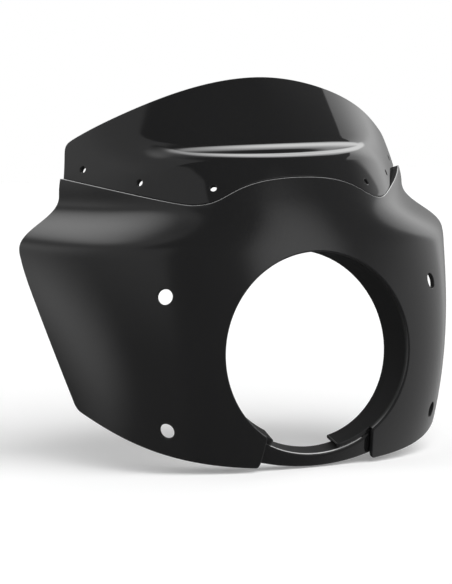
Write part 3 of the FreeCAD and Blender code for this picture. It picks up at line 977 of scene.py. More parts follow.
def dust_group() -> bpy.types.NodeTree:
    """Colour and roughness of a clean gloss surface with fine dust on it.

    Returns:
        Node group that all finishes share.
    """
    name = "fine_dust"
    if name in bpy.data.node_groups:
        return bpy.data.node_groups[name]
    tree = new_group(
        name,
        [("Vector", "NodeSocketVector"), ("Amount", "NodeSocketFloat"), ("Clean Colour", "NodeSocketColor"),
         ("Dust Colour", "NodeSocketColor"), ("Clean Roughness", "NodeSocketFloat"),
         ("Dust Roughness", "NodeSocketFloat")],
        [("Colour", "NodeSocketColor"), ("Roughness", "NodeSocketFloat")],
    )
    start, end = tree.nodes["Group Input"], tree.nodes["Group Output"]
    specks = tree.nodes.new("ShaderNodeTexNoise")
    specks.inputs["Scale"].default_value = 900.0
    specks.inputs["Detail"].default_value = 2.0
    clouds = tree.nodes.new("ShaderNodeTexNoise")
    clouds.inputs["Scale"].default_value = 9.0
    clouds.inputs["Detail"].default_value = 3.0
    for node in (specks, clouds):
        tree.links.new(start.outputs["Vector"], node.inputs["Vector"])
    sharp = tree.nodes.new("ShaderNodeMapRange")
    sharp.inputs["From Min"].default_value = 0.62
    sharp.inputs["From Max"].default_value = 0.8
    tree.links.new(specks.outputs["Fac"], sharp.inputs["Value"])
    drift = tree.nodes.new("ShaderNodeMapRange")
    drift.inputs["From Min"].default_value = 0.35
    drift.inputs["From Max"].default_value = 0.75
    tree.links.new(clouds.outputs["Fac"], drift.inputs["Value"])
    joined = tree.nodes.new("ShaderNodeMath")
    joined.operation = "MULTIPLY"
    tree.links.new(sharp.outputs["Result"], joined.inputs[0])
    tree.links.new(drift.outputs["Result"], joined.inputs[1])
    mask = tree.nodes.new("ShaderNodeMath")
    mask.operation = "MULTIPLY"
    tree.links.new(joined.outputs[0], mask.inputs[0])
    tree.links.new(start.outputs["Amount"], mask.inputs[1])
    colour = tree.nodes.new("ShaderNodeMix")
    colour.data_type = "RGBA"
    tree.links.new(mask.outputs[0], colour.inputs["Factor"])
    tree.links.new(start.outputs["Clean Colour"], colour.inputs["A"])
    tree.links.new(start.outputs["Dust Colour"], colour.inputs["B"])
    tree.links.new(colour.outputs["Result"], end.inputs["Colour"])
    rough = tree.nodes.new("ShaderNodeMix")
    rough.data_type = "FLOAT"
    tree.links.new(drift.outputs["Result"], rough.inputs["Factor"])
    tree.links.new(start.outputs["Clean Roughness"], rough.inputs["A"])
    tree.links.new(start.outputs["Dust Roughness"], rough.inputs["B"])
    tree.links.new(rough.outputs["Result"], end.inputs["Roughness"])
    return tree


def dress(obj: bpy.types.Object, finish: GlossPlastic, node: str) -> None:
    """Gives a piece its finish and puts it in the place of its CAD node.

    Args:
        obj: object of the piece.
        finish: its finish.
        node: CAD node that it replaces.
    """
    obj.data.materials.append(finish.material())
    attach(obj, "root")
    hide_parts(node)
    LOG.info("%s: %d points, %d faces", obj.name, len(obj.data.vertices), len(obj.data.polygons))


@dataclass
class Shell:
    """Moulded body: skin with the opening and the notch, tunnel, pads and the ledge for the windshield."""

    skin: Skin
    tunnel: Tunnel
    parting: PartingLine
    step: EndStep
    finish: GlossPlastic
    wall: float = 4.8
    edge_radius: float = 1.0
    lip_radius: float = 2.2
    rim_radius: float = 1.3
    spacing: float = 3.2
    neck_edge: tuple[float, float] = (211.0, 190.0)
    wing_edge: tuple[float, float] = (198.0, 88.0)
    tail: tuple[float, float] = (159.0, -62.0)
    wing_edge_radius: float = 300.0
    tail_radius: float = 15.0
    chin: float = -127.0
    notch_top: float = 62.5
    notch_foot: float = 67.5
    notch_round: float = 4.0
    slot: tuple[float, float] = (-52.0, 24.0)
    nest: float = 7.8
    mount_out: float = 159.0
    mount_heights: tuple[float, float] = (65.5, -78.0)
    mount_radius: float = 8.5
    seat: float = 3.3
    ledge_lap: float = 12.0
    ledge_rises: tuple[float, float, float] = (12.5, 23.0, 25.0)
    ledge_half: float = 196.0
    screws: tuple[tuple[float, float], ...] = SCREWS
    screw_radius: float = 4.6
    pad: tuple[float, float] = (54.0, 76.0)
    pad_height: float = 3.0

    def notch_half(self, z: Array) -> Array:
        """Half width of the notch at a height.

        Args:
            z: heights.

        Returns:
            Half widths.
        """
        knee = -math.sqrt(self.tunnel.radius**2 - self.notch_top**2)
        lean = (self.notch_foot - self.notch_top) / (knee - self.chin)
        return self.notch_top + lean * (knee - z)

    def rear_edge(self) -> Array:
        """Rear edge in the side view, depth and height, from the bottom edge up to the neck.

        Returns:
            Array of depth and height.
        """
        neck, wing, tail = np.array(self.neck_edge), np.array(self.wing_edge), np.array(self.tail)
        chin = np.array([0.0, self.chin])
        top = neck + (neck - wing) * 0.2
        low = corner(chin, tail, wing, self.tail_radius)
        high = corner(tail, wing, top, self.wing_edge_radius, 30)
        return np.concatenate([low, np.linspace(low[-1], high[0], 60)[1:-1], high,
                               np.linspace(high[-1], top, 40)[1:]])

    def opening(self) -> tuple[Array, Array]:
        """Angles of the lip from the top down to the notch, left half, and the places of those points.

        Returns:
            Angles, and places in t and z.
        """
        phi = np.radians(np.linspace(90.0, -60.0, 600))
        lip = self.tunnel.line(phi, self.tunnel.meet(self.skin, phi, 0.0, 0.0), 0.0)
        clear = lip[:, 0] > self.notch_half(lip[:, 2])
        last = int(np.max(np.nonzero(clear)))
        phi = np.linspace(phi[0], phi[last], 120)
        lip = self.tunnel.line(phi, self.tunnel.meet(self.skin, phi, 0.0, 0.0), 0.0)
        return phi, np.stack([self.skin.at_x(lip[:, 0], lip[:, 2]), lip[:, 2]], -1)

    def bottom_edge(self, start: float, stop: float, count: int) -> Array:
        """Places of the bottom edge between two values of t.

        Args:
            start: first t.
            stop: last t.
            count: number of places.

        Returns:
            Places in t and z.
        """
        tail_y, tail_z = self.tail
        slope = (tail_z - self.chin) / tail_y
        t = np.linspace(start, stop, count)
        z = np.full(count, self.chin)
        for _ in range(30):
            z = self.chin + slope * self.skin.point(t, z)[:, 1]
        return np.stack([t, z], -1)

    def half_outline(self) -> tuple[Array, Array]:
        """Left half of the skin's outline from the opening's top to the parting line's crown.

        Returns:
            Places in t and z, and the angles of the lip's points at its start.
        """
        phi, lip = self.opening()
        rear = self.rear_edge()
        first = self.skin.at_y(rear[:1, 0], rear[:1, 1])[0]
        foot_t = self.skin.at_x(np.array(self.notch_foot), np.array(self.chin))
        bottom = self.bottom_edge(float(foot_t), float(first), 100)
        foot = bottom[0]
        side_z = np.linspace(lip[-1, 1], foot[1], 16)
        side = np.stack([self.skin.at_x(self.notch_half(side_z), side_z), side_z], -1)
        toe = self.soften(side, bottom)
        parting = self.parting.half(0.0, 0.0, 0.0, 46)[::-1]
        line = np.stack([self.skin.at_x(parting[:, 0], parting[:, 1]), parting[:, 1]], -1)
        depth = self.skin.point(line[:, 0], line[:, 1])[:, 1]
        limit = np.interp(line[:, 1], rear[-30:, 1], rear[-30:, 0])
        line = line[depth < limit - 1.0]
        top_y = float(np.interp(line[0, 1], rear[-30:, 1], rear[-30:, 0]))
        rear = rear[rear[:, 1] < line[0, 1] - 1.0]
        back = np.stack([self.skin.at_y(rear[:, 0], rear[:, 1]), rear[:, 1]], -1)
        peak = np.array([[float(self.skin.at_y(np.array(top_y), np.array(line[0, 1]))), line[0, 1]]])
        return np.concatenate([lip, toe, back[1:], peak, line]), phi

    def soften(self, side: Array, bottom: Array) -> Array:
        """Notch side and bottom edge joined by a rounded corner.

        Args:
            side: places down the notch.
            bottom: places along the bottom edge.

        Returns:
            Places in t and z.
        """
        scale = np.array([500.0, 1.0])
        a, b, c = side[-6] * scale, bottom[0] * scale, bottom[8] * scale
        arc = corner(a, b, c, self.notch_round, 8)
        side = side[side[:, 1] > arc[0, 1] + 0.5]
        bottom = bottom[bottom[:, 0] * scale[0] > arc[-1, 0] + 1.0]
        return np.concatenate([side[1:], arc / scale, bottom])

    def build(self) -> bpy.types.Object:
        """Mesh of the whole shell.

        Returns:
            Object that is in the scene.
        """
        draft = Draft()
        half, phi = self.half_outline()
        outline = both_sides(half)
        lip_count = len(phi)
        radius = np.full(len(outline), self.edge_radius)
        on_lip = np.zeros(len(outline), dtype=bool)
        on_lip[:lip_count] = True
        on_lip[len(outline) - lip_count + 1:] = True
        radius[on_lip] = self.lip_radius
        sheet = SkinSheet(self.skin, 0.0, self.wall, self.edge_radius, self.spacing, self.step)
        holes = [sheet.hole(s * self.mount_out, z, self.mount_radius, 40)
                 for s in (-1.0, 1.0) for z in self.mount_heights]
        loops = [outline] + holes
        radii = [radius] + [np.full(len(h), self.edge_radius) for h in holes]
        grid = sheet.grid(self.chin - 8.0, self.parting.end + 4.0, None)
        tz, numbers, rings = sheet.lay(draft, loops, radii, grid)
        shifted = self.clear_of_tunnel(tz)
        inner = sheet.back(draft, shifted)
        first = 0
        for k, (loop, ring) in enumerate(zip(loops, rings)):
            span = np.arange(first, first + len(loop))
            first += len(loop)
            if k:
                sheet.edge(draft, tz[span], ring, inner[span])
                continue
            plain = span[lip_count - 1:len(outline) - lip_count + 2]
            # Painted highlight: the rounded edge within 2 mm of the parting line gets a pale colour, as a
            # thin bright line.
            height = np.interp(np.abs(tz[plain, 0]), *self.parting_in_t())
            painted_highlight = (np.abs(tz[plain, 1] - height) < 2.0).astype(float)
            sheet.edge(draft, tz[plain], numbers[plain], inner[plain], closed=False, painted_highlight=painted_highlight)
            order = np.concatenate([span[len(outline) - lip_count + 1:], span[:lip_count]])
            angles = np.concatenate([math.pi - phi[:0:-1], phi])
            self.lip_and_tunnel(draft, tz[order], angles, numbers[order], inner[order])
        self.floor_tabs(draft, float(phi[-1]))
        self.pads(draft)
        self.ledge(draft)
        return draft.to_object("shell_skin")

    def parting_in_t(self) -> tuple[Array, Array]:
        """Places t and heights along the left half of the parting line, from the centre outwards."""
        line = self.parting.half(0.0, 0.0, 0.0, 46)
        return self.skin.at_x(line[:, 0], line[:, 1]), line[:, 1]

    def clear_of_tunnel(self, tz: Array) -> Array:
        """Places of the inner face, moved out from the opening so that it ends at the tunnel's outside.

        Args:
            tz: places of the outer face.

        Returns:
            Places of the inner face in t and z.
        """
        p = self.skin.point(tz[:, 0], tz[:, 1])
        n = self.skin.normal(tz[:, 0], tz[:, 1])
        radial = np.stack([p[:, 0], p[:, 2]], -1)
        reach = np.linalg.norm(radial, axis=1)
        radial = radial / np.maximum(reach, 1.0)[:, None]
        lean = np.maximum(-(n[:, 0] * radial[:, 0] + n[:, 2] * radial[:, 1]), 0.0)
        near = np.clip(1.0 - (reach - self.tunnel.radius) / 30.0, 0.0, 1.0) ** 2
        turn = np.degrees(np.abs(np.arctan2(p[:, 0], -p[:, 2])))
        window = smooth((turn - 37.0) / 8.0)
        move = near * window * (self.wall * (1.0 + lean) + 1.0)
        place = radial * (reach + move)[:, None]
        moved = np.stack([self.skin.at_x(place[:, 0], place[:, 1]), place[:, 1]], -1)
        return np.where((move > 1e-3)[:, None], moved, tz)

    def lip_and_tunnel(self, draft: Draft, tz: Array, phi: Array, outer: Array, inner: Array) -> None:
        """Adds the rounded lip and the tunnel with its rear rim, back to the inner face of the skin.

        Args:
            draft: mesh that takes the faces.
            tz: places along the opening.
            phi: angles of those places.
            outer: numbers along the outer face.
            inner: numbers along the inner face.
        """
        start = self.skin.point(tz[:, 0], tz[:, 1])
        n = self.skin.normal(tz[:, 0], tz[:, 1])
        s0 = self.tunnel.meet(self.skin, phi, 0.0, 0.0)
        lip = self.tunnel.line(phi, s0, 0.0)
        along = self.tunnel.along(phi)
        facing = self.tunnel.facing(phi)
        bend = lip + along * self.lip_radius
        rows = [outer]
        for u in (0.2, 0.4, 0.6, 0.8, 1.0):
            p = (1 - u) ** 2 * start + 2 * u * (1 - u) * lip + u * u * bend
            rows.append(draft.add(p, -n * (1.0 - u) + facing * u))
        rear = self.tunnel.line(phi, np.ones(phi.shape), 0.0) - along * self.rim_radius
        for u in np.linspace(0.0, 1.0, 8)[1:]:
            rows.append(draft.add(bend + (rear - bend) * u, facing, matt=1.0))
        for a in np.radians([30.0, 60.0, 90.0]):
            p = rear + along * self.rim_radius * math.sin(a) - facing * self.rim_radius * (1.0 - math.cos(a))
            rows.append(draft.add(p, facing * math.cos(a) + along * math.sin(a), matt=1.0))
        for a in np.radians([0.0, 30.0, 60.0, 90.0]):
            p = rear + along * self.rim_radius * math.cos(a)
            p = p - facing * (self.wall - self.rim_radius + self.rim_radius * math.sin(a))
            rows.append(draft.add(p, along * math.cos(a) - facing * math.sin(a), matt=INNER_MATT))
        front = draft_points(draft, inner)
        outside = rear - facing * self.wall
        for u in np.linspace(0.0, 1.0, 6)[1:-1]:
            rows.append(draft.add(outside + (front - outside) * u, -facing, matt=INNER_MATT))
        draft.strip(rows + [inner], False)
        for column, side in ((0, 1.0), (len(phi) - 1, -1.0)):
            draft.cap([int(r[column]) for r in rows] + [int(inner[column])], np.array([side, 0.0, 0.0]))

    def floor_tabs(self, draft: Draft, corner_phi: float) -> None:
        """Adds the parts of the tunnel's floor that stand behind the notch, beside the slot.

        Args:
            draft: mesh that takes the tabs.
            corner_phi: angle at which the lip meets the notch.
        """
        turn = np.radians(np.linspace(-20.0, -160.0, 800))
        rim_x = self.tunnel.line(turn, np.full(turn.shape, 0.8), 0.0)[:, 0]
        left = (corner_phi + 0.004, float(np.interp(-self.slot[1], -rim_x, turn)))
        right = (float(np.interp(-self.slot[0], -rim_x, turn)), -math.pi - corner_phi - 0.004)
        for start, stop in (left, right):
            phi = np.linspace(start, stop, 18)
            s0 = self.tunnel.meet(self.skin, phi, self.nest + self.rim_radius, 0.0)
            rear = self.tunnel.line(phi, np.ones(phi.shape), 0.0) - self.tunnel.along(phi) * self.rim_radius
            front = self.tunnel.line(phi, s0, 0.0)
            u = np.linspace(1.0, 0.0, 10)[:, None, None]
            points = front[None] + (rear - front)[None] * u
            inward = np.repeat(-self.tunnel.facing(phi)[None], len(u), 0)
            plate(draft, points, inward, self.wall, self.rim_radius, matt=1.0)

    def pads(self, draft: Draft) -> None:
        """Adds the two bonding pads of the strap under the tunnel.

        Args:
            draft: mesh that takes the pads.
        """
        turn = np.radians(np.linspace(-20.0, -90.0, 400))
        grow = self.wall + self.pad_height
        x = self.tunnel.line(turn, np.full(turn.shape, 0.7), grow)[:, 0]
        span = np.interp([-self.pad[1] + 0.5, -self.pad[0] - 0.5], -x, turn)
        for mirror in (False, True):
            phi = np.linspace(span[0], span[1], 12)
            if mirror:
                phi = -math.pi - phi[::-1]
            front_s = self.tunnel.meet(self.skin, phi, self.nest, grow)
            front = self.tunnel.line(phi, front_s, grow) + self.tunnel.along(phi) * 1.0
            rear = self.tunnel.line(phi, np.ones(phi.shape), grow) - self.tunnel.along(phi) * 1.0
            u = np.linspace(0.0, 1.0, 8)[:, None, None]
            points = front[None] + (rear - front)[None] * u
            inward = np.repeat(self.tunnel.facing(phi)[None], len(u), 0)
            plate(draft, points, inward, self.pad_height + 0.4, 0.5, matt=INNER_MATT)

    def ledge(self, draft: Draft) -> None:
        """Adds the joggled ledge behind the windshield with its screw holes.

        Args:
            draft: mesh that takes the ledge.
        """
        sheet = SkinSheet(self.skin, self.seat, self.wall, self.edge_radius, 5.0)
        high = self.parting.half(*self.ledge_rises, 30)
        low = self.parting.half(-self.ledge_lap, -self.ledge_lap, -self.ledge_lap, 30)
        high = high[high[:, 0] < self.ledge_half]
        low = low[low[:, 0] < self.ledge_half]
        high = np.concatenate([high, [[self.ledge_half, high[-1, 1]]]])
        low = np.concatenate([low, [[self.ledge_half, low[-1, 1]]]])
        end = np.linspace(low[-1], high[-1], 10)[1:-1]
        half = np.concatenate([low, end, high[::-1]])
        half = np.stack([self.skin.at_x(half[:, 0], half[:, 1]), half[:, 1]], -1)
        outline = both_sides(half)
        holes = [sheet.hole(s * x, z, self.screw_radius, 20) for s in (-1.0, 1.0) for x, z in self.screws]
        loops = [outline] + holes
        radii = [np.full(len(loop), self.edge_radius) for loop in loops]
        grid = sheet.grid(140.0, 216.0, None)
        tz, numbers, rings = sheet.lay(draft, loops, radii, grid)
        inner = sheet.back(draft, tz)
        first = 0
        for loop, ring in zip(loops, rings):
            span = np.arange(first, first + len(loop))
            first += len(loop)
            sheet.edge(draft, tz[span], ring, inner[span])


@dataclass
class Windshield:
    """Raked screen with a rounded outline, a moulded crease and screw holes."""

    skin: Skin
    parting: PartingLine
    finish: GlossPlastic
    wall: float = 3.2
    edge_radius: float = 1.0
    gap: float = 0.4
    spacing: float = 3.0
    top: float = 294.0
    top_pull: float = 70.0
    shoulder: tuple[float, float] = (186.0, 233.5)
    slope: float = math.radians(35.0)
    slope_pull: float = 52.0
    side: tuple[float, float] = (200.0, 213.0)
    corner_pull: float = 12.0
    screws: tuple[tuple[float, float], ...] = SCREWS
    screw_radius: float = 3.5

    def half_outline(self) -> Array:
        """Left half of the outline in t and z, from the bottom centre to the top centre.

        Returns:
            Places in t and z.
        """
        lower = self.parting.half(self.gap, self.gap, self.gap, 46)
        foot = lower[-1]
        side = np.array(self.side)
        shoulder = np.array(self.shoulder)
        down = np.array([math.cos(self.slope), -math.sin(self.slope)])
        rise = unit(side - foot)
        flank = np.linspace(foot, side, 10)
        past_side = side + rise * self.corner_pull
        bend = bezier([side, past_side, shoulder + down * self.corner_pull, shoulder], 14)
        crown = [(self.top_pull, self.top), (0.0, self.top)]
        brow = bezier([shoulder, shoulder - down * self.slope_pull, *crown], 90)
        half = np.concatenate([lower, flank[1:], bend[1:], brow[1:]])
        return np.stack([self.skin.at_x(half[:, 0], half[:, 1]), half[:, 1]], -1)

    def build(self) -> bpy.types.Object:
        """Mesh of the windshield.

        Returns:
            Object that is in the scene.
        """
        draft = Draft()
        sheet = SkinSheet(self.skin, 0.0, self.wall, self.edge_radius, self.spacing)
        outline = both_sides(self.half_outline())
        holes = [sheet.hole(s * x, z, self.screw_radius, 24) for s in (-1.0, 1.0) for x, z in self.screws]
        loops = [outline] + holes
        radii = [np.full(len(loop), self.edge_radius) for loop in loops]
        fine = (self.skin.crease_height - 10.0, self.skin.crease_height + 11.0)
        grid = sheet.grid(self.parting.trough - 4.0, self.top + 4.0, fine)
        tz, numbers, rings = sheet.lay(draft, loops, radii, grid)
        inner = sheet.back(draft, tz)
        first = 0
        for loop, ring in zip(loops, rings):
            span = np.arange(first, first + len(loop))
            first += len(loop)
            sheet.edge(draft, tz[span], ring, inner[span])
        obj = draft.to_object("screen_skin")
        # The crease mirrors the room and not the panel above it.
        obj.visible_glossy = False
        return obj


@dataclass
class Strap:
    """Strap of L section behind the notch: flange under the skin, web under the tunnel."""

    skin: Skin
    tunnel: Tunnel
    finish: GlossPlastic
    wall: float = 3.0
    nest: float = 7.9
    half: float = 78.0
    foot: float = -124.0
    foot_radius: float = 257.0
    bend_radius: float = 3.4
    edge_radius: float = 0.8
    flange_rows: int = 8
    bend_rows: int = 5

    def build(self) -> bpy.types.Object:
        """Mesh of the strap.

        Returns:
            Object that is in the scene.
        """
        draft = Draft()
        turn = np.radians(np.linspace(-20.0, -160.0, 1600))
        bend_s = self.tunnel.meet(self.skin, turn, self.nest, self.nest)
        x = self.tunnel.line(turn, bend_s, self.nest)[:, 0]
        reach = self.half - self.edge_radius
        phi = np.interp(np.linspace(reach, -reach, 90) * -1.0, -x, turn)
        bend = self.tunnel.line(phi, self.tunnel.meet(self.skin, phi, self.nest, self.nest), self.nest)
        along = self.tunnel.along(phi)
        facing = self.tunnel.facing(phi)
        sag = self.foot_radius - np.sqrt(self.foot_radius**2 - bend[:, 0] ** 2)
        foot = self.foot + sag + self.edge_radius
        rows, normals = [], []
        top = bend[:, 2] - self.bend_radius
        for u in np.linspace(0.0, 1.0, self.flange_rows):
            p, n = self.skin.under(bend[:, 0], foot + (top - foot) * u, self.nest)
            rows.append(p)
            normals.append(n)
        low, low_n = rows[-1], normals[-1]
        high = bend + along * self.bend_radius
        for u in np.linspace(0.0, 1.0, self.bend_rows + 1)[1:]:
            rows.append((1 - u) ** 2 * low + 2 * u * (1 - u) * bend + u * u * high)
            normals.append(unit(low_n * (1 - u) - facing * u))
        rear = self.tunnel.line(phi, np.ones(phi.shape), self.nest) - along * self.edge_radius
        for u in np.linspace(0.0, 1.0, 10)[1:]:
            rows.append(high + (rear - high) * u)
            normals.append(-facing)
        points, inward = np.stack(rows)[:, ::-1], np.stack(normals)[:, ::-1]
        painted_highlight, matt = np.zeros(points.shape[:2]), np.zeros(points.shape[:2])
        web = self.flange_rows + self.bend_rows - 1
        # Painted highlight: one row on the rounded bend at the strap's front gets a pale colour, as a bright
        # line along that edge.
        painted_highlight[web - 1] = 1.0
        matt[web:] = 0.8
        plate(draft, points, inward, self.wall, self.edge_radius, painted_highlight.ravel(), matt.ravel())
        return draft.to_object("strap_plate")


ACROSS, AHEAD, UP = (1.0, 0.0, 0.0), (0.0, 1.0, 0.0), (0.0, 0.0, 1.0)


@dataclass(frozen=True)
class Ramp:
    """Smooth change of brightness with the share of a direction along an axis.

    A stop below the start makes a fall. Low is the value before the change, high the one after it.
    """

    axis: tuple[float, float, float]
    start: float
    stop: float
    low: float = 0.0
    high: float = 1.0

    def node(self, tree: bpy.types.NodeTree, where: bpy.types.NodeSocket) -> bpy.types.NodeSocket:
        """Adds the ramp to a node tree.

        Args:
            tree: tree that takes the nodes.
            where: socket with the direction.

        Returns:
            Socket with the value.
        """
        dot = tree.nodes.new("ShaderNodeVectorMath")
        dot.operation = "DOT_PRODUCT"
        dot.inputs[1].default_value = self.axis
        tree.links.new(where, dot.inputs[0])
        ends = [(self.start, self.low), (self.stop, self.high)]
        (start, low), (stop, high) = sorted(ends, key=lambda end: end[0])
        step = tree.nodes.new("ShaderNodeMapRange")
        step.interpolation_type = "SMOOTHSTEP"
        for name, value in (("From Min", start), ("From Max", stop), ("To Min", low), ("To Max", high)):
            step.inputs[name].default_value = value
        tree.links.new(dot.outputs["Value"], step.inputs["Value"])
        return step.outputs["Result"]


@dataclass
class Room:
    """Brightness of the studio by direction: pale behind the object, dark above it and at the camera's side.

    Each wall is the product of its ramps. The brightest wall counts, and the lights are added to it.
    """

    tree: bpy.types.NodeTree
    dark: float = 0.13
    left_lift: float = 0.04
    rear: tuple[Ramp, ...] = (
        Ramp(AHEAD, 0.05, 0.3),
        Ramp((0.5, 0.0, 1.0), 0.4, 0.7),
        Ramp(UP, 0.27, 0.36),
        Ramp(ACROSS, 0.72, 0.6),
        Ramp(UP, 0.84, 0.97, 2.1, 0.35),
    )
    left: tuple[Ramp, ...] = (
        Ramp((0.034, 0.989, 0.144), -0.006, 0.006),
        Ramp(ACROSS, -0.2, -0.4),
        Ramp(UP, 0.35, 0.6, 0.0, 0.38),
    )
    low_left: tuple[Ramp, ...] = (
        Ramp((-0.1, 0.0, 1.0), 0.845, 0.83),
        Ramp((-0.588, 0.809, 0.0), 0.0, 0.03),
        Ramp(ACROSS, -0.3, -0.5),
        Ramp(UP, -0.2, 0.55, 0.03, 0.34),
    )
    right: tuple[Ramp, ...] = (
        Ramp(UP, 0.58, 0.57),
        Ramp((0.454, -0.626, -0.634), 0.01, -0.03),
        Ramp(ACROSS, 0.35, 0.6),
        Ramp(UP, 0.0, 0.4, 0.6, 0.95),
        Ramp(AHEAD, 0.1, 0.5, 1.0, 1.3),
        Ramp(AHEAD, 0.62, 0.85, 1.0, 0.3),
    )
    low_right: tuple[Ramp, ...] = (
        Ramp(AHEAD, 0.6, 0.9, 1.0, 0.3),
        Ramp(ACROSS, 0.3, 0.75),
        Ramp(UP, 0.6, 0.15, 0.06, 0.45),
        Ramp(AHEAD, -0.9, -0.3),
    )
    left_glow: tuple[Ramp, ...] = (
        Ramp(ACROSS, -0.6, -0.87),
        Ramp(AHEAD, -0.02, 0.5, 0.0, 1.1),
        Ramp(UP, -0.5, -0.15),
        Ramp(UP, 0.6, 0.9, 1.0, 0.3),
    )
    front_lamp: tuple[Ramp, ...] = (Ramp((0.3006, -0.783, 0.5446), 0.9, 0.998, 0.0, 1.2),)

    def base(self) -> tuple[Ramp, ...]:
        """Dim light from everywhere, a little brighter at the left and dimmer behind the object."""
        side = Ramp(ACROSS, -0.5, -1.0, self.dark, self.dark + self.left_lift)
        return side, Ramp(AHEAD, 0.6, 0.9, 1.0, 0.3)

    def join(self, kind: str, sockets: list[bpy.types.NodeSocket]) -> bpy.types.NodeSocket:
        """Sum, product or largest of several values.

        Args:
            kind: operation of the math nodes.
            sockets: sockets with the values.

        Returns:
            Socket with the result.
        """
        result = sockets[0]
        for socket in sockets[1:]:
            node = self.tree.nodes.new("ShaderNodeMath")
            node.operation = kind
            self.tree.links.new(result, node.inputs[0])
            self.tree.links.new(socket, node.inputs[1])
            result = node.outputs[0]
        return result

    def build(self) -> bpy.types.NodeSocket:
        """Adds the nodes of the whole room.

        Returns:
            Socket with its brightness.
        """
        where = self.tree.nodes.new("ShaderNodeTexCoord").outputs["Generated"]

        def product(ramps: tuple[Ramp, ...]) -> bpy.types.NodeSocket:
            """Product of some ramps."""
            return self.join("MULTIPLY", [ramp.node(self.tree, where) for ramp in ramps])

        walls = [product(wall) for wall in (self.rear, self.left, self.low_left, self.right, self.low_right)]
        lights = [product(light) for light in (self.left_glow, self.front_lamp, self.base())]
        return self.join("ADD", [self.join("MAXIMUM", walls), *lights])


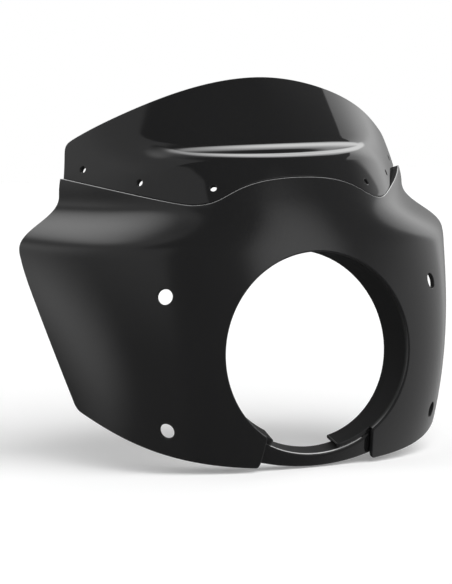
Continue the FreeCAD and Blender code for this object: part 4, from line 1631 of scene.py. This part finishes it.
@dataclass
class Studio:
    """Camera, soft lights and the pale floor."""

    floor_height: float = -0.126
    eye: tuple[float, float, float] = (-1.185203, -2.422942, 0.277841)
    turn: float = math.radians(24.0)
    dip: float = math.radians(4.48)
    roll: float = math.radians(-1.5)
    lens: float = 157.13
    sun_from: tuple[float, float, float] = (0.2, -0.86, 0.44)
    sun_angle: float = math.radians(80.0)
    sun_share: float = 0.55
    floor_reach: float = 9.0
    floor_shade: float = 0.95
    floor_glow: float = 0.1

    def build(self) -> None:
        """Sets the whole studio up."""
        self.camera()
        self.floor()
        self.world()
        self.sun()
        bpy.context.scene.view_settings.view_transform = "Standard"

    def camera(self) -> None:
        """Camera at the photograph's place, angle and focal length."""
        cp, sp, ce, se = math.cos(self.turn), math.sin(self.turn), math.cos(self.dip), math.sin(self.dip)
        ahead = Vector((sp * ce, cp * ce, -se))
        level = Vector((cp, -sp, 0.0))
        upright = level.cross(ahead)
        right = level * math.cos(self.roll) + upright * math.sin(self.roll)
        up = upright * math.cos(self.roll) - level * math.sin(self.roll)
        data = bpy.data.cameras.new("camera")
        data.lens = self.lens
        data.sensor_width = 36.0
        obj = bpy.data.objects.new("camera", data)
        obj.matrix_world = Matrix((right, up, -ahead)).transposed().to_4x4()
        obj.location = self.eye
        bpy.context.scene.collection.objects.link(obj)
        bpy.context.scene.camera = obj

    def floor(self) -> None:
        """Pale floor that runs out to the white of the background."""
        mesh = bpy.data.meshes.new("floor")
        r = self.floor_reach
        h = self.floor_height
        mesh.from_pydata([(-r, -r, h), (r, -r, h), (r, r, h), (-r, r, h)], [], [(0, 1, 2, 3)])
        obj = bpy.data.objects.new("floor", mesh)
        mat = bpy.data.materials.new("pale_floor")
        mat.use_nodes = True
        shader = mat.node_tree.nodes["Principled BSDF"]
        shader.inputs["Base Color"].default_value = (*[self.floor_shade] * 3, 1.0)
        shader.inputs["Roughness"].default_value = 0.9
        shader.inputs["Specular IOR Level"].default_value = 0.0
        path = mat.node_tree.nodes.new("ShaderNodeLightPath")
        shader.inputs["Emission Color"].default_value = (1.0, 1.0, 1.0, 1.0)
        glow = mat.node_tree.nodes.new("ShaderNodeMath")
        glow.operation = "MULTIPLY"
        glow.inputs[1].default_value = self.floor_glow
        mat.node_tree.links.new(path.outputs["Is Camera Ray"], glow.inputs[0])
        mat.node_tree.links.new(glow.outputs[0], shader.inputs["Emission Strength"])
        mesh.materials.append(mat)
        obj.visible_glossy = False
        bpy.context.scene.collection.objects.link(obj)

    def sun(self) -> None:
        """Soft light from the front that gives the floor its shade and isn't mirrored."""
        light = bpy.data.lights.new("soft_sun", "SUN")
        light.angle = self.sun_angle
        toward = Vector(self.sun_from).normalized()
        light.energy = self.sun_share * math.pi / toward.z
        obj = bpy.data.objects.new("soft_sun", light)
        obj.rotation_euler = (-toward).to_track_quat("-Z", "Y").to_euler()
        obj.visible_camera = False
        obj.visible_glossy = False
        bpy.context.scene.collection.objects.link(obj)

    def world(self) -> None:
        """Room that the gloss mirrors, white to the camera and a part of the white for the soft shade."""
        world = bpy.data.worlds.new("studio")
        world.use_nodes = True
        bpy.context.scene.world = world
        tree = world.node_tree
        path = tree.nodes.new("ShaderNodeLightPath")
        sky = tree.nodes.new("ShaderNodeMix")
        sky.data_type = "FLOAT"
        sky.inputs["A"].default_value = 1.0 - self.sun_share
        sky.inputs["B"].default_value = 1.0
        tree.links.new(path.outputs["Is Camera Ray"], sky.inputs["Factor"])
        mirrored = tree.nodes.new("ShaderNodeMix")
        mirrored.data_type = "FLOAT"
        tree.links.new(sky.outputs["Result"], mirrored.inputs["A"])
        tree.links.new(path.outputs["Is Glossy Ray"], mirrored.inputs["Factor"])
        tree.links.new(Room(tree).build(), mirrored.inputs["B"])
        tree.links.new(mirrored.outputs["Result"], tree.nodes["Background"].inputs["Strength"])
        tree.nodes["Background"].inputs["Color"].default_value = (1.0, 1.0, 1.0, 1.0)


BLACK = (0.006, 0.006, 0.0062)
DUST = (0.09, 0.088, 0.085)
FINISHES = {
    Surface.SHELL: GlossPlastic(Surface.SHELL, BLACK, DUST, 0.18, 0.22, 0.1, 0.25),
    Surface.SCREEN: GlossPlastic(Surface.SCREEN, BLACK, DUST, 0.05, 0.08, 0.1, 0.25),
    # The strap's last value is the pale colour of its painted edge highlight.
    Surface.STRAP: GlossPlastic(Surface.STRAP, BLACK, DUST, 0.08, 0.12, 0.1, 0.25, (0.6, 0.6, 0.6)),
}


def main() -> None:
    """Builds the studio and the three pieces of the fairing."""
    logging.basicConfig(level=logging.INFO)
    Studio().build()
    skin, tunnel, parting = Skin(), Tunnel(), PartingLine()
    shell = Shell(skin, tunnel, parting, EndStep(), FINISHES[Surface.SHELL])
    dress(shell.build(), shell.finish, "fairing_shell")
    screen = Windshield(skin, parting, FINISHES[Surface.SCREEN])
    dress(screen.build(), screen.finish, "windshield")
    strap = Strap(skin, tunnel, FINISHES[Surface.STRAP])
    dress(strap.build(), strap.finish, "lower_strap")


if __name__ == "__main__":
    main()
